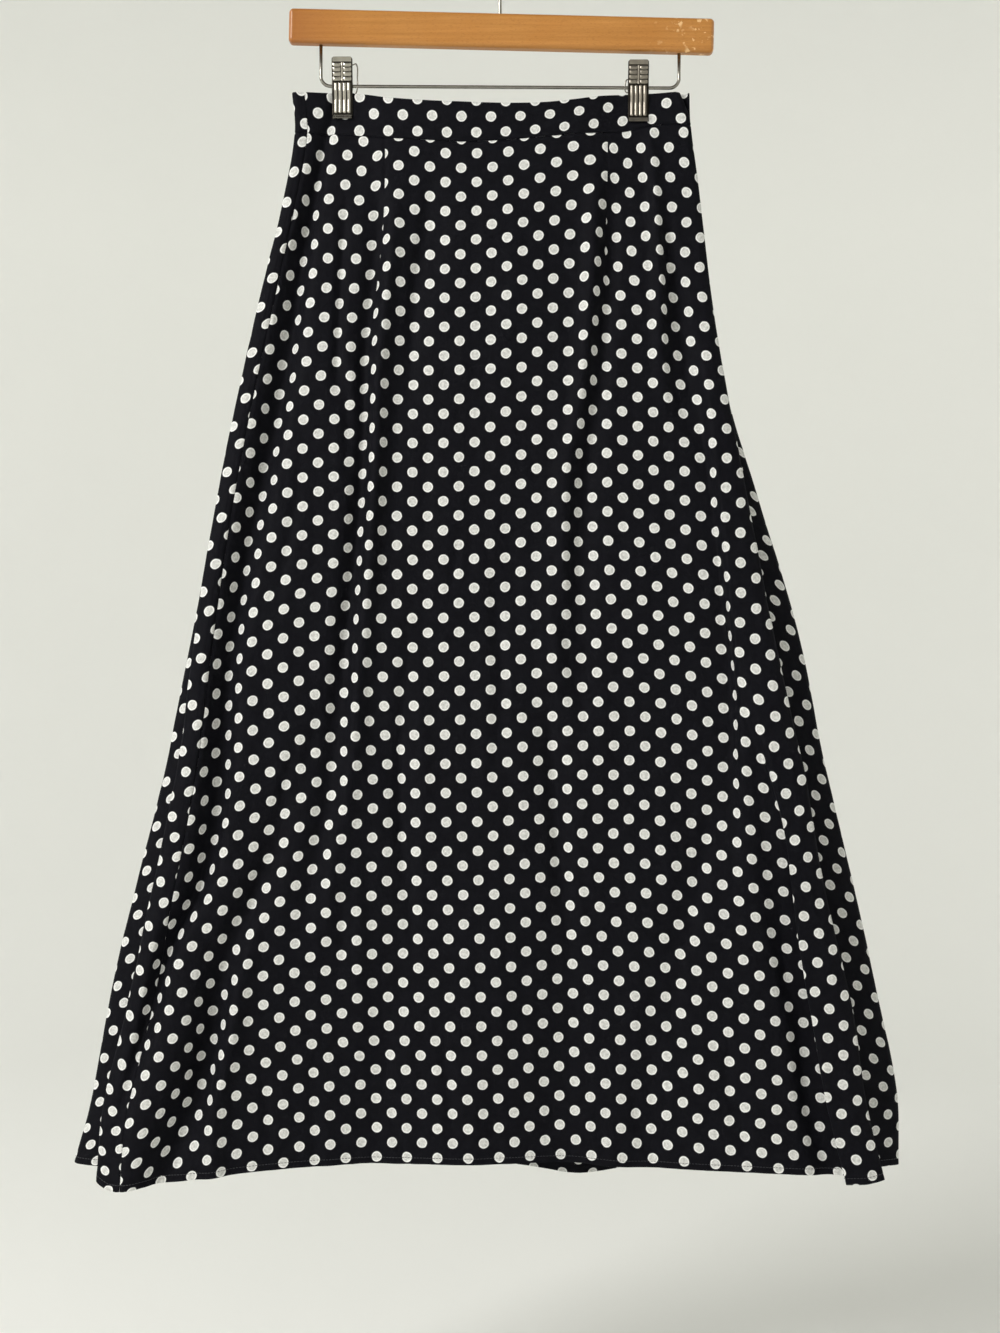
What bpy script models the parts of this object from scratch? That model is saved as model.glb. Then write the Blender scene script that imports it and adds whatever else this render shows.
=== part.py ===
"""A-line midi skirt of thin printed cloth, hung flat by its waistband from a wooden clip hanger.

Frame: X to the wearer's left in the picture (image right), +Z up, the front of the skirt faces -Y.
The origin is the inner top of the hanger's hook, where a rail or nail carries it.
The skirt is one flattened tube. Each level of it is a closed ring of points, worked out from the side
edges, the depth of the two layers and a table of folds, and the pieces are cut out of that tube.
"""

import math

import bmesh
import bpy
from mathutils import Matrix, Vector

MM = 0.001
GAP = 0.3 * MM                  # what parts neighbouring pieces

# Cloth
CLOTH = 1.2 * MM                # wall of a panel
BAND_CLOTH = 1.6 * MM           # wall of the waistband, which is doubled
BAND_LEVEL = -0.04              # level of the band's top edge, as a share of the skirt's length
HEM_LEVEL = 1.0
LEFT_SEAM = 0.033               # the left side seam shows on the front, this share of the width in
SEAM_FLAT = 1.0 * MM            # straight stretch on each side of a side seam
SKIRT_ROWS = 25                 # the same on both panels, so that their seams stay parallel
BAND_ROWS = 2

# Side edges of the two layers, in mm from the middle of the hanger.
# Level 0 is the waist seam and level 1 the hem.
SIDES = (
    # level, front_left, back_left, front_right, back_right
    (-0.04, -171.5, -171.5, 156.5, 156.5),
    (0.00, -169.5, -169.5, 157.5, 157.5),
    (0.06, -178.0, -178.0, 164.0, 164.0),
    (0.16, -197.0, -197.0, 173.5, 173.5),
    (0.26, -216.0, -216.5, 186.0, 189.0),
    (0.37, -234.0, -236.5, 202.5, 218.0),
    (0.49, -249.5, -257.0, 221.0, 248.0),
    (0.61, -263.0, -277.0, 243.0, 269.0),
    (0.72, -281.5, -301.0, 260.0, 292.0),
    (0.84, -303.5, -325.0, 282.5, 314.0),
    (0.93, -321.0, -339.0, 293.0, 330.0),
    (1.00, -326.0, -354.5, 306.5, 332.0),
)

# Depth of the layers, in mm in front of (-) and behind (+) the hanger's plane, and how far the side
# folds in between the layers like a bellows.
DEPTHS = (
    # level, front_middle, front_left, front_right, back_middle, back_left, back_right,
    #                                              fold_radius, left_tuck, right_tuck
    (-0.04, -7.0, -4.4, -4.4, 7.0, 4.4, 4.4, 1.9, 0.0, 0.0),
    (0.00, -6.0, -4.4, -4.4, 6.0, 4.4, 4.4, 1.9, 0.0, 0.0),
    (0.06, -8.0, -5.6, -5.6, 9.0, 5.6, 5.6, 2.4, 0.0, 0.0),
    (0.16, -11.0, -9.0, -8.0, 13.0, 8.0, 8.0, 3.2, 0.0, 1.0),
    (0.26, -13.0, -13.0, -11.0, 17.0, 10.0, 10.0, 3.6, 0.0, 6.0),
    (0.37, -14.0, -17.0, -14.0, 21.0, 12.0, 11.0, 4.0, 1.0, 12.0),
    (0.49, -14.0, -20.0, -17.0, 25.0, 14.0, 12.0, 4.2, 6.0, 17.0),
    (0.61, -14.0, -24.0, -20.0, 29.0, 16.0, 13.0, 4.5, 12.0, 21.0),
    (0.72, -14.0, -27.0, -23.0, 32.0, 17.0, 14.0, 4.8, 17.0, 24.0),
    (0.84, -13.0, -30.0, -27.0, 35.0, 18.0, 15.0, 5.0, 21.0, 26.0),
    (0.93, -12.0, -32.0, -29.0, 38.0, 19.0, 16.0, 5.0, 24.0, 27.0),
    (1.00, -12.0, -33.0, -30.0, 41.0, 20.0, 17.0, 5.0, 26.0, 28.0),
)

# Folds, as (level, share of the layer's width, depth in mm, half width in mm). A plus depth leans
# away from the viewer in front. A "hollow" is a soft trough or, with a minus depth, a ridge. A "wave"
# is a ridge with a trough to its right, and a "step" brings all that lies to its right forward.
FRONT_FOLDS = {
    "left_trough": ("hollow", (
        (0.00, 0.068, 0.5, 8), (0.03, 0.070, 2.0, 9), (0.09, 0.075, 5.0, 10), (0.16, 0.074, 7.0, 11),
        (0.25, 0.085, 9.0, 12), (0.40, 0.070, 11.0, 12), (0.53, 0.062, 12.0, 12), (0.65, 0.070, 14.0, 11),
        (0.72, 0.065, 15.0, 9), (0.78, 0.038, 14.0, 8), (0.84, 0.033, 11.0, 8), (0.90, 0.028, 7.0, 8),
        (0.94, 0.024, 2.0, 8), (1.00, 0.022, 0.0, 8))),
    "left_flute": ("hollow", (
        (0.74, 0.085, 0.0, 20), (0.84, 0.075, -4.0, 22), (0.92, 0.060, -8.0, 24), (1.00, 0.050, -10.0, 26))),
    "slanting_trough": ("hollow", (
        (0.56, 0.235, 0.0, 12), (0.65, 0.180, 4.0, 12), (0.70, 0.170, 7.0, 12), (0.78, 0.131, 12.0, 13),
        (0.84, 0.122, 15.0, 13), (0.91, 0.118, 15.0, 14), (0.95, 0.104, 13.0, 14), (1.00, 0.078, 10.0, 14))),
    "slanting_ridge": ("hollow", (
        (0.72, 0.165, 0.0, 9), (0.80, 0.152, -5.0, 9), (0.88, 0.150, -8.0, 9), (1.00, 0.146, -6.0, 10))),
    "left_dart_fold": ("wave", (
        (0.03, 0.235, 0.0, 9), (0.10, 0.251, -3.5, 9), (0.16, 0.268, -4.0, 10), (0.26, 0.286, -3.5, 11),
        (0.37, 0.294, -2.5, 12), (0.50, 0.292, 0.0, 12))),
    "left_middle_trough": ("hollow", (
        (0.02, 0.355, 0.0, 12), (0.10, 0.360, 2.5, 12), (0.26, 0.332, 3.5, 13), (0.36, 0.335, 2.0, 13),
        (0.46, 0.330, 0.0, 13))),
    "right_dart_fold": ("wave", (
        (0.02, 0.790, 0.0, 8), (0.09, 0.775, 5.0, 8), (0.16, 0.757, 5.5, 9), (0.26, 0.737, 5.0, 9),
        (0.37, 0.702, 3.5, 11), (0.47, 0.665, 1.5, 13), (0.55, 0.640, 0.0, 14))),
    "right_ridge": ("hollow", (
        (0.05, 0.893, 0.0, 7), (0.09, 0.892, -2.5, 7), (0.16, 0.887, -4.0, 7), (0.22, 0.876, -3.5, 8),
        (0.29, 0.870, 0.0, 8))),
    "right_trough": ("hollow", (
        (0.07, 0.905, 0.0, 7), (0.11, 0.913, 3.0, 7), (0.16, 0.921, 5.0, 8), (0.22, 0.923, 5.0, 8),
        (0.31, 0.921, 0.0, 8))),
    "centre_trough": ("hollow", (
        (0.50, 0.580, 0.0, 14), (0.56, 0.597, 3.0, 14), (0.66, 0.611, 5.0, 16), (0.80, 0.609, 5.5, 18),
        (1.00, 0.605, 7.0, 22))),
    "centre_left_trough": ("hollow", (
        (0.54, 0.300, 0.0, 10), (0.60, 0.345, 3.0, 11), (0.68, 0.370, 4.0, 12), (0.82, 0.368, 4.0, 14),
        (1.00, 0.345, 7.0, 18))),
    "centre_right_trough": ("hollow", (
        (0.62, 0.845, 0.0, 12), (0.70, 0.820, 4.0, 13), (0.78, 0.775, 4.5, 15), (0.88, 0.735, 4.5, 16),
        (1.00, 0.710, 6.0, 20))),
    "centre_ridge": ("hollow", (
        (0.60, 0.480, 0.0, 30), (0.80, 0.480, -3.0, 32), (1.00, 0.475, -6.0, 36))),
    "upper_step": ("step", (
        (0.20, 0.955, 0.0, 5), (0.27, 0.948, -4.0, 5), (0.38, 0.938, -7.0, 5), (0.48, 0.931, -8.0, 6),
        (0.54, 0.916, -8.0, 7), (0.62, 0.896, -6.0, 9), (0.70, 0.880, 0.0, 11))),
    "lower_step": ("step", (
        (0.54, 0.955, 0.0, 6), (0.62, 0.948, -7.0, 6), (0.69, 0.956, -11.0, 6), (0.75, 0.953, -14.0, 6),
        (0.83, 0.949, -17.0, 6), (0.91, 0.957, -19.0, 6), (1.00, 0.961, -20.0, 6))),
    "step_trough": ("hollow", (
        (0.60, 0.925, 0.0, 9), (0.69, 0.931, 4.0, 9), (0.80, 0.925, 8.0, 10), (0.91, 0.933, 9.0, 10),
        (1.00, 0.937, 9.0, 11))),
}
# How far the cloth laps over itself at the lower step, in mm, by level.
LAP = ((0.54, 0.0), (0.62, 2.5), (0.69, 7.0), (0.75, 8.5), (0.83, 10.0), (0.91, 11.0), (1.00, 12.0))
LAP_WIDTH = 6.0
PINCH_FLAT = 9.0                # mm on each side of a clip's middle that it holds flat
PINCH_WIDTH = 22.0              # mm over which the pinch fades
PINCH_DEPTH = 2.0               # outer face of each layer in the clips, mm from the hanger's plane
PINCH_END = 0.11                # level where the pinch has opened out

BACK_FOLDS = {
    "right_flute": ("hollow", (
        (0.02, 0.13, 0.0, 12), (0.12, 0.13, -4.0, 13), (0.35, 0.12, -8.0, 15), (0.60, 0.135, -11.0, 17),
        (0.80, 0.125, -13.0, 18), (1.00, 0.115, -14.0, 20))),
    "right_dart_fold": ("wave", (
        (0.03, 0.225, 0.0, 9), (0.11, 0.235, 4.0, 9), (0.25, 0.255, 4.0, 11), (0.45, 0.290, 0.0, 14))),
    "centre_right": ("hollow", (
        (0.25, 0.42, 0.0, 20), (0.45, 0.40, -4.0, 22), (0.70, 0.375, -8.0, 24), (1.00, 0.385, -11.0, 28))),
    "centre_left": ("hollow", (
        (0.30, 0.60, 0.0, 20), (0.55, 0.63, -6.0, 22), (0.80, 0.645, -10.0, 24), (1.00, 0.630, -12.0, 26))),
    "left_dart_fold": ("wave", (
        (0.03, 0.775, 0.0, 9), (0.11, 0.765, -3.5, 9), (0.25, 0.750, -4.0, 11), (0.42, 0.730, 0.0, 14))),
    "left_flute": ("hollow", (
        (0.04, 0.87, 0.0, 12), (0.15, 0.87, -4.0, 14), (0.40, 0.88, -7.0, 16), (0.65, 0.865, -10.0, 18),
        (1.00, 0.875, -13.0, 20))),
    "right_crest": ("hollow", ((0.50, 0.25, 0.0, 26), (1.00, 0.25, 6.0, 34))),
    "middle_crest": ("hollow", ((0.50, 0.51, 0.0, 30), (1.00, 0.51, 6.0, 40))),
    "left_crest": ("hollow", ((0.50, 0.76, 0.0, 26), (1.00, 0.76, 6.0, 34))),
}

# Heights, in mm below the hook, by share of the layer's width.
BAND_TOP = ((0.0, -140.2), (0.10, -140.6), (0.17, -141.4), (0.24, -145.2), (0.32, -147.6), (0.47, -149.6),
            (0.56, -150.2), (0.64, -149.4), (0.71, -147.0), (0.78, -143.6), (0.83, -142.2), (0.92, -140.9),
            (1.0, -140.0))
BAND_TOP_BACK = ((0.0, -140.0), (0.13, -141.2), (0.30, -148.0), (0.50, -152.5), (0.70, -149.0),
                 (0.87, -141.6), (1.0, -140.2))
WAIST_SEAM = ((0.0, -172.8), (0.12, -174.2), (0.25, -178.0), (0.33, -179.4), (0.41, -181.0), (0.50, -180.2),
              (0.57, -178.6), (0.65, -176.2), (0.73, -174.0), (0.83, -171.8), (1.0, -171.4))
WAIST_SEAM_BACK = ((0.0, -171.4), (0.15, -172.4), (0.50, -183.0), (0.85, -174.4), (1.0, -172.8))
HEM = ((0.0, -1027.0), (0.02, -1033.0), (0.06, -1031.5), (0.12, -1027.5), (0.20, -1023.0), (0.30, -1020.0),
       (0.50, -1018.5), (0.60, -1017.5), (0.75, -1020.5), (0.90, -1023.5), (0.95, -1025.5), (0.98, -1024.5),
       (1.0, -1022.0))
HEM_BACK = ((0.0, -1026.0), (0.15, -1028.0), (0.30, -1034.0), (0.41, -1044.0), (0.50, -1041.0),
            (0.65, -1034.0), (0.85, -1028.0), (1.0, -1025.0))

# Columns of the grid along each stretch of the ring: (share of the width at its end, intervals).
FRONT_STRETCHES = ((0.16, 9), (0.70, 17), (0.92, 8), (0.975, 9), (1.0, 2))
BACK_STRETCHES = ((0.20, 6), (0.80, 15), (1.0, 6))
SIDE_STEPS = 2
BAND_END_DRAW = 8.0             # the front band's right end stops this far short at the top, mm
BAND_END_RUN = 28.0             # mm of band that are drawn in there
SIDE_SHARE = 0.35               # share of the width over which a side's depth takes over from the middle's
FOLD_REACH = 2.2                # fold radii from the side edge to where the layer's flat run ends
EDGE_DRAW = 0.6                 # mm that the side edges lie further in at the waist
OPEN_LEVEL = 0.25               # level from which the side folds are fully open
FULL_TUCK = 12.0                # mm of tuck from which a folded edge is fully round
CURL_IN = 0.9                   # place of the point that rounds it, in fold radii inward
CURL_DEEP = 1.1                 # and in fold radii deeper

# Hanger
BAR_LENGTH = 350 * MM
BAR_HEIGHT = 28.4 * MM
BAR_DEPTH = 12 * MM
BAR_ROUND = 3.6 * MM
BAR_MIDDLE = Vector((1.2 * MM, 0, -89.2 * MM))
BAR_TILT = math.radians(1.4)    # the bar hangs lower at the right
HOOK_WIRE = 3.2 * MM
HOOK_RADIUS = 22 * MM
HOOK_START = math.radians(-40)
HOOK_END = math.radians(205)
HOOK_BEND = 14 * MM             # radius where the stem turns into the hook
HOOK_SEAT = 14 * MM
CLIP_WIRE = 2.8 * MM
CLIP_WIRE_HALF = 147.7 * MM
CLIP_WIRE_LEFT_Z = -133.8 * MM
CLIP_WIRE_RIGHT_Z = -135.4 * MM
CLIP_WIRE_BEND = 8 * MM
CLIP_WIRE_SEAT = 8 * MM
SEAT_PLAY = 0.3 * MM
BORE_CUT = 30 * MM              # length of a bore's cutter

# Clips
CLIPS = {"left": (-129.8, -112.1), "right": (113.9, -114.5)}    # middle and top, in mm
CLIP_TALL = 49.4
FRONT_JAW_WIDE = 17.0
BACK_JAW_WIDE = 14.2
JAW_PLATE = 1.0
JAW_HEAD_OUT = 7.5              # the squeezed ends stand this far from the hanger's plane
JAW_WAIST_OUT = 4.6
JAW_GRIP_OUT = 2.3
EAR_RADIUS = 3.3
EAR_PLATE = 1.0
SPRING_RADIUS = 3.4
SPRING_LONG = 9.0

COLOURS = {
    "cloth": ((0.011, 0.011, 0.014), 0.85, 0.0),
    "band_cloth": ((0.014, 0.014, 0.018), 0.85, 0.0),
    "back_cloth": ((0.017, 0.017, 0.022), 0.85, 0.0),
    "wood": ((0.50, 0.22, 0.06), 0.35, 0.0),
    "steel": ((0.62, 0.61, 0.58), 0.30, 1.0),
}


def smooth(value):
    """Ease from 0 to 1."""
    value = min(1.0, max(0.0, value))
    return value * value * (3 - 2 * value)


def read(rows, place, column=1):
    """Value of a table's column at a place, on a smooth curve through its rows."""
    if place <= rows[0][0]:
        return rows[0][column]
    if place >= rows[-1][0]:
        return rows[-1][column]
    i = max(k for k in range(len(rows) - 1) if rows[k][0] <= place)
    x0, x1 = rows[i][0], rows[i + 1][0]
    y0, y1 = rows[i][column], rows[i + 1][column]
    slope = (y1 - y0) / (x1 - x0)
    before = slope if i == 0 else (y1 - rows[i - 1][column]) / (x1 - rows[i - 1][0])
    after = slope if i + 2 == len(rows) else (rows[i + 2][column] - y0) / (rows[i + 2][0] - x0)
    s = (place - x0) / (x1 - x0)
    h = x1 - x0
    return ((1 + 2 * s) * (1 - s) ** 2 * y0 + s * (1 - s) ** 2 * h * before
            + s * s * (3 - 2 * s) * y1 + s * s * (s - 1) * h * after)


def side(level, column):
    return read(SIDES, level, ("front_left", "back_left", "front_right", "back_right").index(column) + 1)


def depth(level, column):
    names = ("front_middle", "front_left", "front_right", "back_middle", "back_left", "back_right",
             "fold_radius", "left_tuck", "right_tuck")
    return read(DEPTHS, level, names.index(column) + 1)


def fold_depth(folds, level, share, width):
    """Sum of all folds at one point of a layer, in mm."""
    total = 0.0
    for kind, rows in folds.values():
        if level <= rows[0][0] and rows[0][2] == 0.0:
            continue
        away = (share - read(rows, level, 1)) * width
        size = read(rows, level, 2)
        half = read(rows, level, 3)
        if kind == "hollow":
            total += size * math.exp(-(away / half) ** 2)
        elif kind == "wave":
            total += size * (away / half) * math.exp(0.5 - 0.5 * (away / half) ** 2)
        else:
            total += size * smooth(0.5 + away / (2 * half))
    return total


def pinch(share, level, left, right):
    """How firmly the nearer clip holds the layer at a point, 0 to 1."""
    if level >= PINCH_END:
        return 0.0
    x = left + share * (right - left)
    near = min(abs(x - middle) for middle, _ in CLIPS.values())
    return math.exp(-(max(0.0, near - PINCH_FLAT) / PINCH_WIDTH) ** 2) * (1 - smooth(level / PINCH_END))


def front_point(level, share):
    """Point of the front layer's outer face, in mm."""
    left, right = side(level, "front_left"), side(level, "front_right")
    middle = depth(level, "front_middle")
    y = (middle + (depth(level, "front_left") - middle) * (1 - smooth(share / SIDE_SHARE))
         + (depth(level, "front_right") - middle) * (1 - smooth((1 - share) / SIDE_SHARE)))
    y += fold_depth(FRONT_FOLDS, level, share, right - left)
    held = pinch(share, level, left, right)
    y = y * (1 - held) - PINCH_DEPTH * held
    x = left + share * (right - left)
    away = (share - read(FRONT_FOLDS["lower_step"][1], level, 1)) * (right - left) / LAP_WIDTH
    if level > LAP[0][0]:
        x -= read(LAP, level) * away * math.exp(0.5 - 0.5 * away * away)
    return x, y


def back_point(level, share):
    """Point of the back layer's outer face, in mm, with the share counted from the right."""
    left, right = side(level, "back_left"), side(level, "back_right")
    middle = depth(level, "back_middle")
    y = (middle + (depth(level, "back_right") - middle) * (1 - smooth(share / SIDE_SHARE))
         + (depth(level, "back_left") - middle) * (1 - smooth((1 - share) / SIDE_SHARE)))
    y += fold_depth(BACK_FOLDS, level, share, right - left)
    held = pinch(1 - share, level, left, right)
    return right + share * (left - right), y * (1 - held) + PINCH_DEPTH * held


def spline(points, steps):
    """Centripetal curve through points[1:-1], with steps intervals on each span."""
    out = []
    for p0, p1, p2, p3, count in zip(points, points[1:], points[2:], points[3:], steps):
        knots = [0.0]
        for a, b in ((p0, p1), (p1, p2), (p2, p3)):
            knots.append(knots[-1] + max(1e-4, math.dist(a, b)) ** 0.5)
        for k in range(count):
            t = knots[1] + (knots[2] - knots[1]) * k / count
            rows = [p0, p1, p2, p3]
            for order in (1, 2, 3):
                rows = [tuple(((knots[i + order] - t) * a + (t - knots[i]) * b) / (knots[i + order] - knots[i])
                              for a, b in zip(rows[i], rows[i + 1])) for i in range(len(rows) - 1)]
            out.append(rows[0])
    out.append(tuple(points[-2]))
    return out


def run_shares(first, stretches, last):
    """Shares of the width from first to last, with each stretch's own spacing."""
    shares = [first]
    for end, count in stretches:
        end = min(end, last)
        start = shares[-1]
        shares += [start + (end - start) * (k + 1) / count for k in range(count)]
    return shares


def curl(edge, inner, radius, tuck):
    """Point between a folded edge and the tuck, which keeps the edge round once the tuck is deep."""
    deep = smooth(tuck / FULL_TUCK)
    way = 1 if inner[1] > edge[1] else -1
    sign = 1 if inner[0] > edge[0] else -1
    plain = [0.5 * (a + b) for a, b in zip(edge, inner)]
    down = CURL_DEEP * radius
    round_x = edge[0] + sign * CURL_IN * radius
    round_y = edge[1] + way * down
    share = down / max(down, abs(inner[1] - edge[1]))
    round_z = edge[2] + (inner[2] - edge[2]) * share
    return tuple(a * (1 - deep) + b * deep for a, b in zip(plain, (round_x, round_y, round_z)))


def ring(level, top, bottom, top_back, bottom_back):
    """Closed ring at one level as (front piece, back piece), each a list of points in mm.

    The front piece runs from the left side seam over the front to the right side seam, and the back
    piece goes on from there round the back and the left edge to the left side seam.
    """
    left, right = side(level, "front_left"), side(level, "front_right")
    back_left, back_right = side(level, "back_left"), side(level, "back_right")
    radius = depth(level, "fold_radius")
    reach = FOLD_REACH * radius

    low = (level - top[1]) / (bottom[1] - top[1])

    def height(share, back=False):
        upper, lower = (top_back, bottom_back) if back else (top, bottom)
        return read(upper[0], share) * (1 - low) + read(lower[0], share) * low

    def front(share):
        return (*front_point(level, share), height(share))

    def back(share):
        return (*back_point(level, share), height(share, True))

    wide = right - left
    back_wide = back_right - back_left
    flat = SEAM_FLAT / MM
    half_gap = 0.5 * GAP / MM

    # Each side seam lies in a short straight stretch, so that the two cut faces stay parallel.
    seam = Vector(front(LEFT_SEAM))
    along = (Vector(front(LEFT_SEAM + flat / wide)) - Vector(front(LEFT_SEAM - flat / wide))).normalized()
    seam_front = [tuple(seam + along * half_gap), tuple(seam + along * flat)]
    seam_back = [tuple(seam - along * flat), tuple(seam - along * half_gap)]

    front_shares = run_shares(LEFT_SEAM + flat / wide, FRONT_STRETCHES, 1 - reach / wide)[1:]
    back_shares = run_shares(reach / back_wide, BACK_STRETCHES, 1 - reach / back_wide)
    front_run = seam_front + [front(s) for s in front_shares]
    back_run = [back(s) for s in back_shares]
    draw = EDGE_DRAW * (1 - smooth(level / OPEN_LEVEL))

    # Right side: round the front edge, into the tuck where the seam lies, and round the back edge.
    edge = (right - draw, front_run[-1][1] + radius, height(1.0))
    back_edge = (back_right - draw, back_run[0][1] - radius, height(0.0, True))
    tuck = right - depth(level, "right_tuck")
    seam_y = 0.5 * (edge[1] + back_edge[1])
    seam_z = 0.5 * (edge[2] + back_edge[2])
    before = (tuck, seam_y - flat, seam_z)
    after = (tuck, seam_y + flat, seam_z)
    front_side = spline([front_run[-2], front_run[-1], edge, curl(edge, before, radius, right - tuck), before,
                         after], (SIDE_STEPS,) * 3)
    back_side = spline([before, after, curl(back_edge, after, radius, right - tuck), back_edge, back_run[0],
                        back_run[1]], (SIDE_STEPS,) * 3)
    front_piece = front_run + front_side[1:] + [(tuck, seam_y - half_gap, seam_z)]
    back_piece = [(tuck, seam_y + half_gap, seam_z)] + back_side + back_run[1:]

    # Left side: round the back edge, in between the layers, and round the front edge to the seam.
    share_in = reach / wide
    front_start = front(share_in)
    left_back_edge = (back_left + draw, back_run[-1][1] - radius, height(1.0, True))
    left_edge = (left + draw, front_start[1] + radius, height(0.0))
    inner = (left + depth(level, "left_tuck"), 0.5 * (left_back_edge[1] + left_edge[1]),
             0.5 * (left_back_edge[2] + left_edge[2]))
    left_tuck = inner[0] - left
    left_side = spline([back_run[-2], back_run[-1], left_back_edge, curl(left_back_edge, inner, radius, left_tuck),
                        inner, curl(left_edge, inner, radius, left_tuck), left_edge, front_start,
                        seam_back[0]], (SIDE_STEPS,) * 6)
    back_piece += left_side[1:]
    back_piece += [front(0.5 * (share_in + LEFT_SEAM)), *seam_back]
    return front_piece, back_piece


def grid_object(name, rows, wall, material, parts):
    """Cloth piece: a grid whose rows go down the piece, facing out, with its wall turned inward."""
    mesh = bpy.data.meshes.new(name)
    across = len(rows[0])
    points = [tuple(c * MM for c in point) for row in rows for point in row]
    faces = [(j * across + i, (j + 1) * across + i, (j + 1) * across + i + 1, j * across + i + 1)
             for j in range(len(rows) - 1) for i in range(across - 1)]
    mesh.from_pydata(points, [], faces)
    mesh.shade_smooth()
    piece = bpy.data.objects.new(name, mesh)
    parts.objects.link(piece)
    shell = piece.modifiers.new("wall", "SOLIDIFY")
    shell.thickness = wall
    shell.offset = -1
    shell.use_even_offset = True
    shell.use_rim = True
    mesh.materials.append(material)
    return piece


def levels(first, last, count):
    return [first + (last - first) * k / count for k in range(count + 1)]


def make_skirt(parts, materials):
    """Two panels between the waist seam and the hem."""
    drop = 0.5 * GAP / MM
    seam = tuple((share, z - drop) for share, z in WAIST_SEAM)
    seam_back = tuple((share, z - drop) for share, z in WAIST_SEAM_BACK)
    ends = ((seam, 0.0), (HEM, HEM_LEVEL), seam_back, HEM_BACK)

    rings = [ring(level, ends[0], ends[1], (ends[2], 0.0), (ends[3], HEM_LEVEL))
             for level in levels(0.0, HEM_LEVEL, SKIRT_ROWS)]
    grid_object("skirt_front", [front for front, _ in rings], CLOTH, materials["cloth"], parts)
    grid_object("skirt_back", [back for _, back in rings], CLOTH, materials["back_cloth"], parts)


def make_waistband(parts, materials):
    """Two halves of the band, parted at the side seams."""
    rise = 0.5 * GAP / MM
    seam = tuple((share, z + rise) for share, z in WAIST_SEAM)
    seam_back = tuple((share, z + rise) for share, z in WAIST_SEAM_BACK)
    rings = [ring(level, (BAND_TOP, BAND_LEVEL), (seam, 0.0), (BAND_TOP_BACK, BAND_LEVEL), (seam_back, 0.0))
             for level in levels(BAND_LEVEL, 0.0, BAND_ROWS)]
    end = side(BAND_LEVEL, "front_right")
    front_rows = []
    for k, (front, _) in enumerate(rings):
        draw = BAND_END_DRAW * (1 - k / BAND_ROWS) ** 1.5
        front_rows.append([(x - draw * smooth(1 - (end - x) / BAND_END_RUN), y, z) for x, y, z in front])
    grid_object("waistband_front", front_rows, BAND_CLOTH, materials["band_cloth"], parts)
    grid_object("waistband_back", [back for _, back in rings], BAND_CLOTH, materials["back_cloth"], parts)


def paint(name):
    """Plain Principled material in a named colour."""
    material = bpy.data.materials.new(name)
    material.use_nodes = True
    shader = material.node_tree.nodes["Principled BSDF"]
    colour, rough, metal = COLOURS[name]
    shader.inputs["Base Color"].default_value = (*colour, 1)
    shader.inputs["Roughness"].default_value = rough
    shader.inputs["Metallic"].default_value = metal
    return material


def fillet(points, radius, steps=5):
    """Open path with its inner corners rounded to the given radius."""
    path = [points[0]]
    for before, corner, after in zip(points, points[1:], points[2:]):
        into = (corner - before).normalized()
        out = (after - corner).normalized()
        turn = into.angle(out)
        cut = radius * math.tan(turn / 2)
        start, end = corner - into * cut, corner + out * cut
        middle = corner + (out - into).normalized() * (radius / math.cos(turn / 2))
        for k in range(steps + 1):
            way = (start - middle).lerp(end - middle, k / steps)
            path.append(middle + way.normalized() * radius)
    path.append(points[-1])
    return path


def wire_object(name, path, diameter, material, parts):
    """Steel wire along a path, as a closed mesh."""
    curve = bpy.data.curves.new(name, "CURVE")
    curve.dimensions = "3D"
    curve.bevel_depth = diameter / 2
    curve.bevel_resolution = 2
    curve.use_fill_caps = True
    line = curve.splines.new("POLY")
    line.points.add(len(path) - 1)
    for slot, point in zip(line.points, path):
        slot.co = (*point, 1)
    curve.materials.append(material)
    wire = bpy.data.objects.new(name, curve)
    parts.objects.link(wire)
    return wire


def as_mesh(piece, parts):
    """Replace a curve object by its welded mesh, in the same place."""
    depsgraph = bpy.context.evaluated_depsgraph_get()
    name = piece.name
    mesh = bpy.data.meshes.new_from_object(piece.evaluated_get(depsgraph))
    place = piece.matrix_world.copy()
    bpy.data.objects.remove(piece)
    work = bmesh.new()
    work.from_mesh(mesh)
    bmesh.ops.remove_doubles(work, verts=work.verts, dist=1e-6)
    bmesh.ops.recalc_face_normals(work, faces=work.faces)
    work.to_mesh(mesh)
    work.free()
    solid = bpy.data.objects.new(name, mesh)
    solid.matrix_world = place
    parts.objects.link(solid)
    return solid


def outline_object(name, points, thickness, middle, material, holder):
    """Flat outline in the Y-Z plane, in mm, with its thickness along X about the middle."""
    curve = bpy.data.curves.new(name, "CURVE")
    curve.dimensions = "2D"
    curve.fill_mode = "BOTH"
    curve.extrude = thickness * MM / 2
    line = curve.splines.new("POLY")
    line.points.add(len(points) - 1)
    line.use_cyclic_u = True
    for slot, (y, z) in zip(line.points, points):
        slot.co = (y * MM, z * MM, 0, 1)
    curve.materials.append(material)
    piece = bpy.data.objects.new(name, curve)
    holder.objects.link(piece)
    # The outline's own X and Y go to the world's Y and Z.
    turn = Matrix(((0, 0, 1), (1, 0, 0), (0, 1, 0))).to_4x4()
    piece.matrix_world = Matrix.Translation((middle * MM, 0, 0)) @ turn
    bpy.context.view_layer.update()
    return as_mesh(piece, holder)


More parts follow.
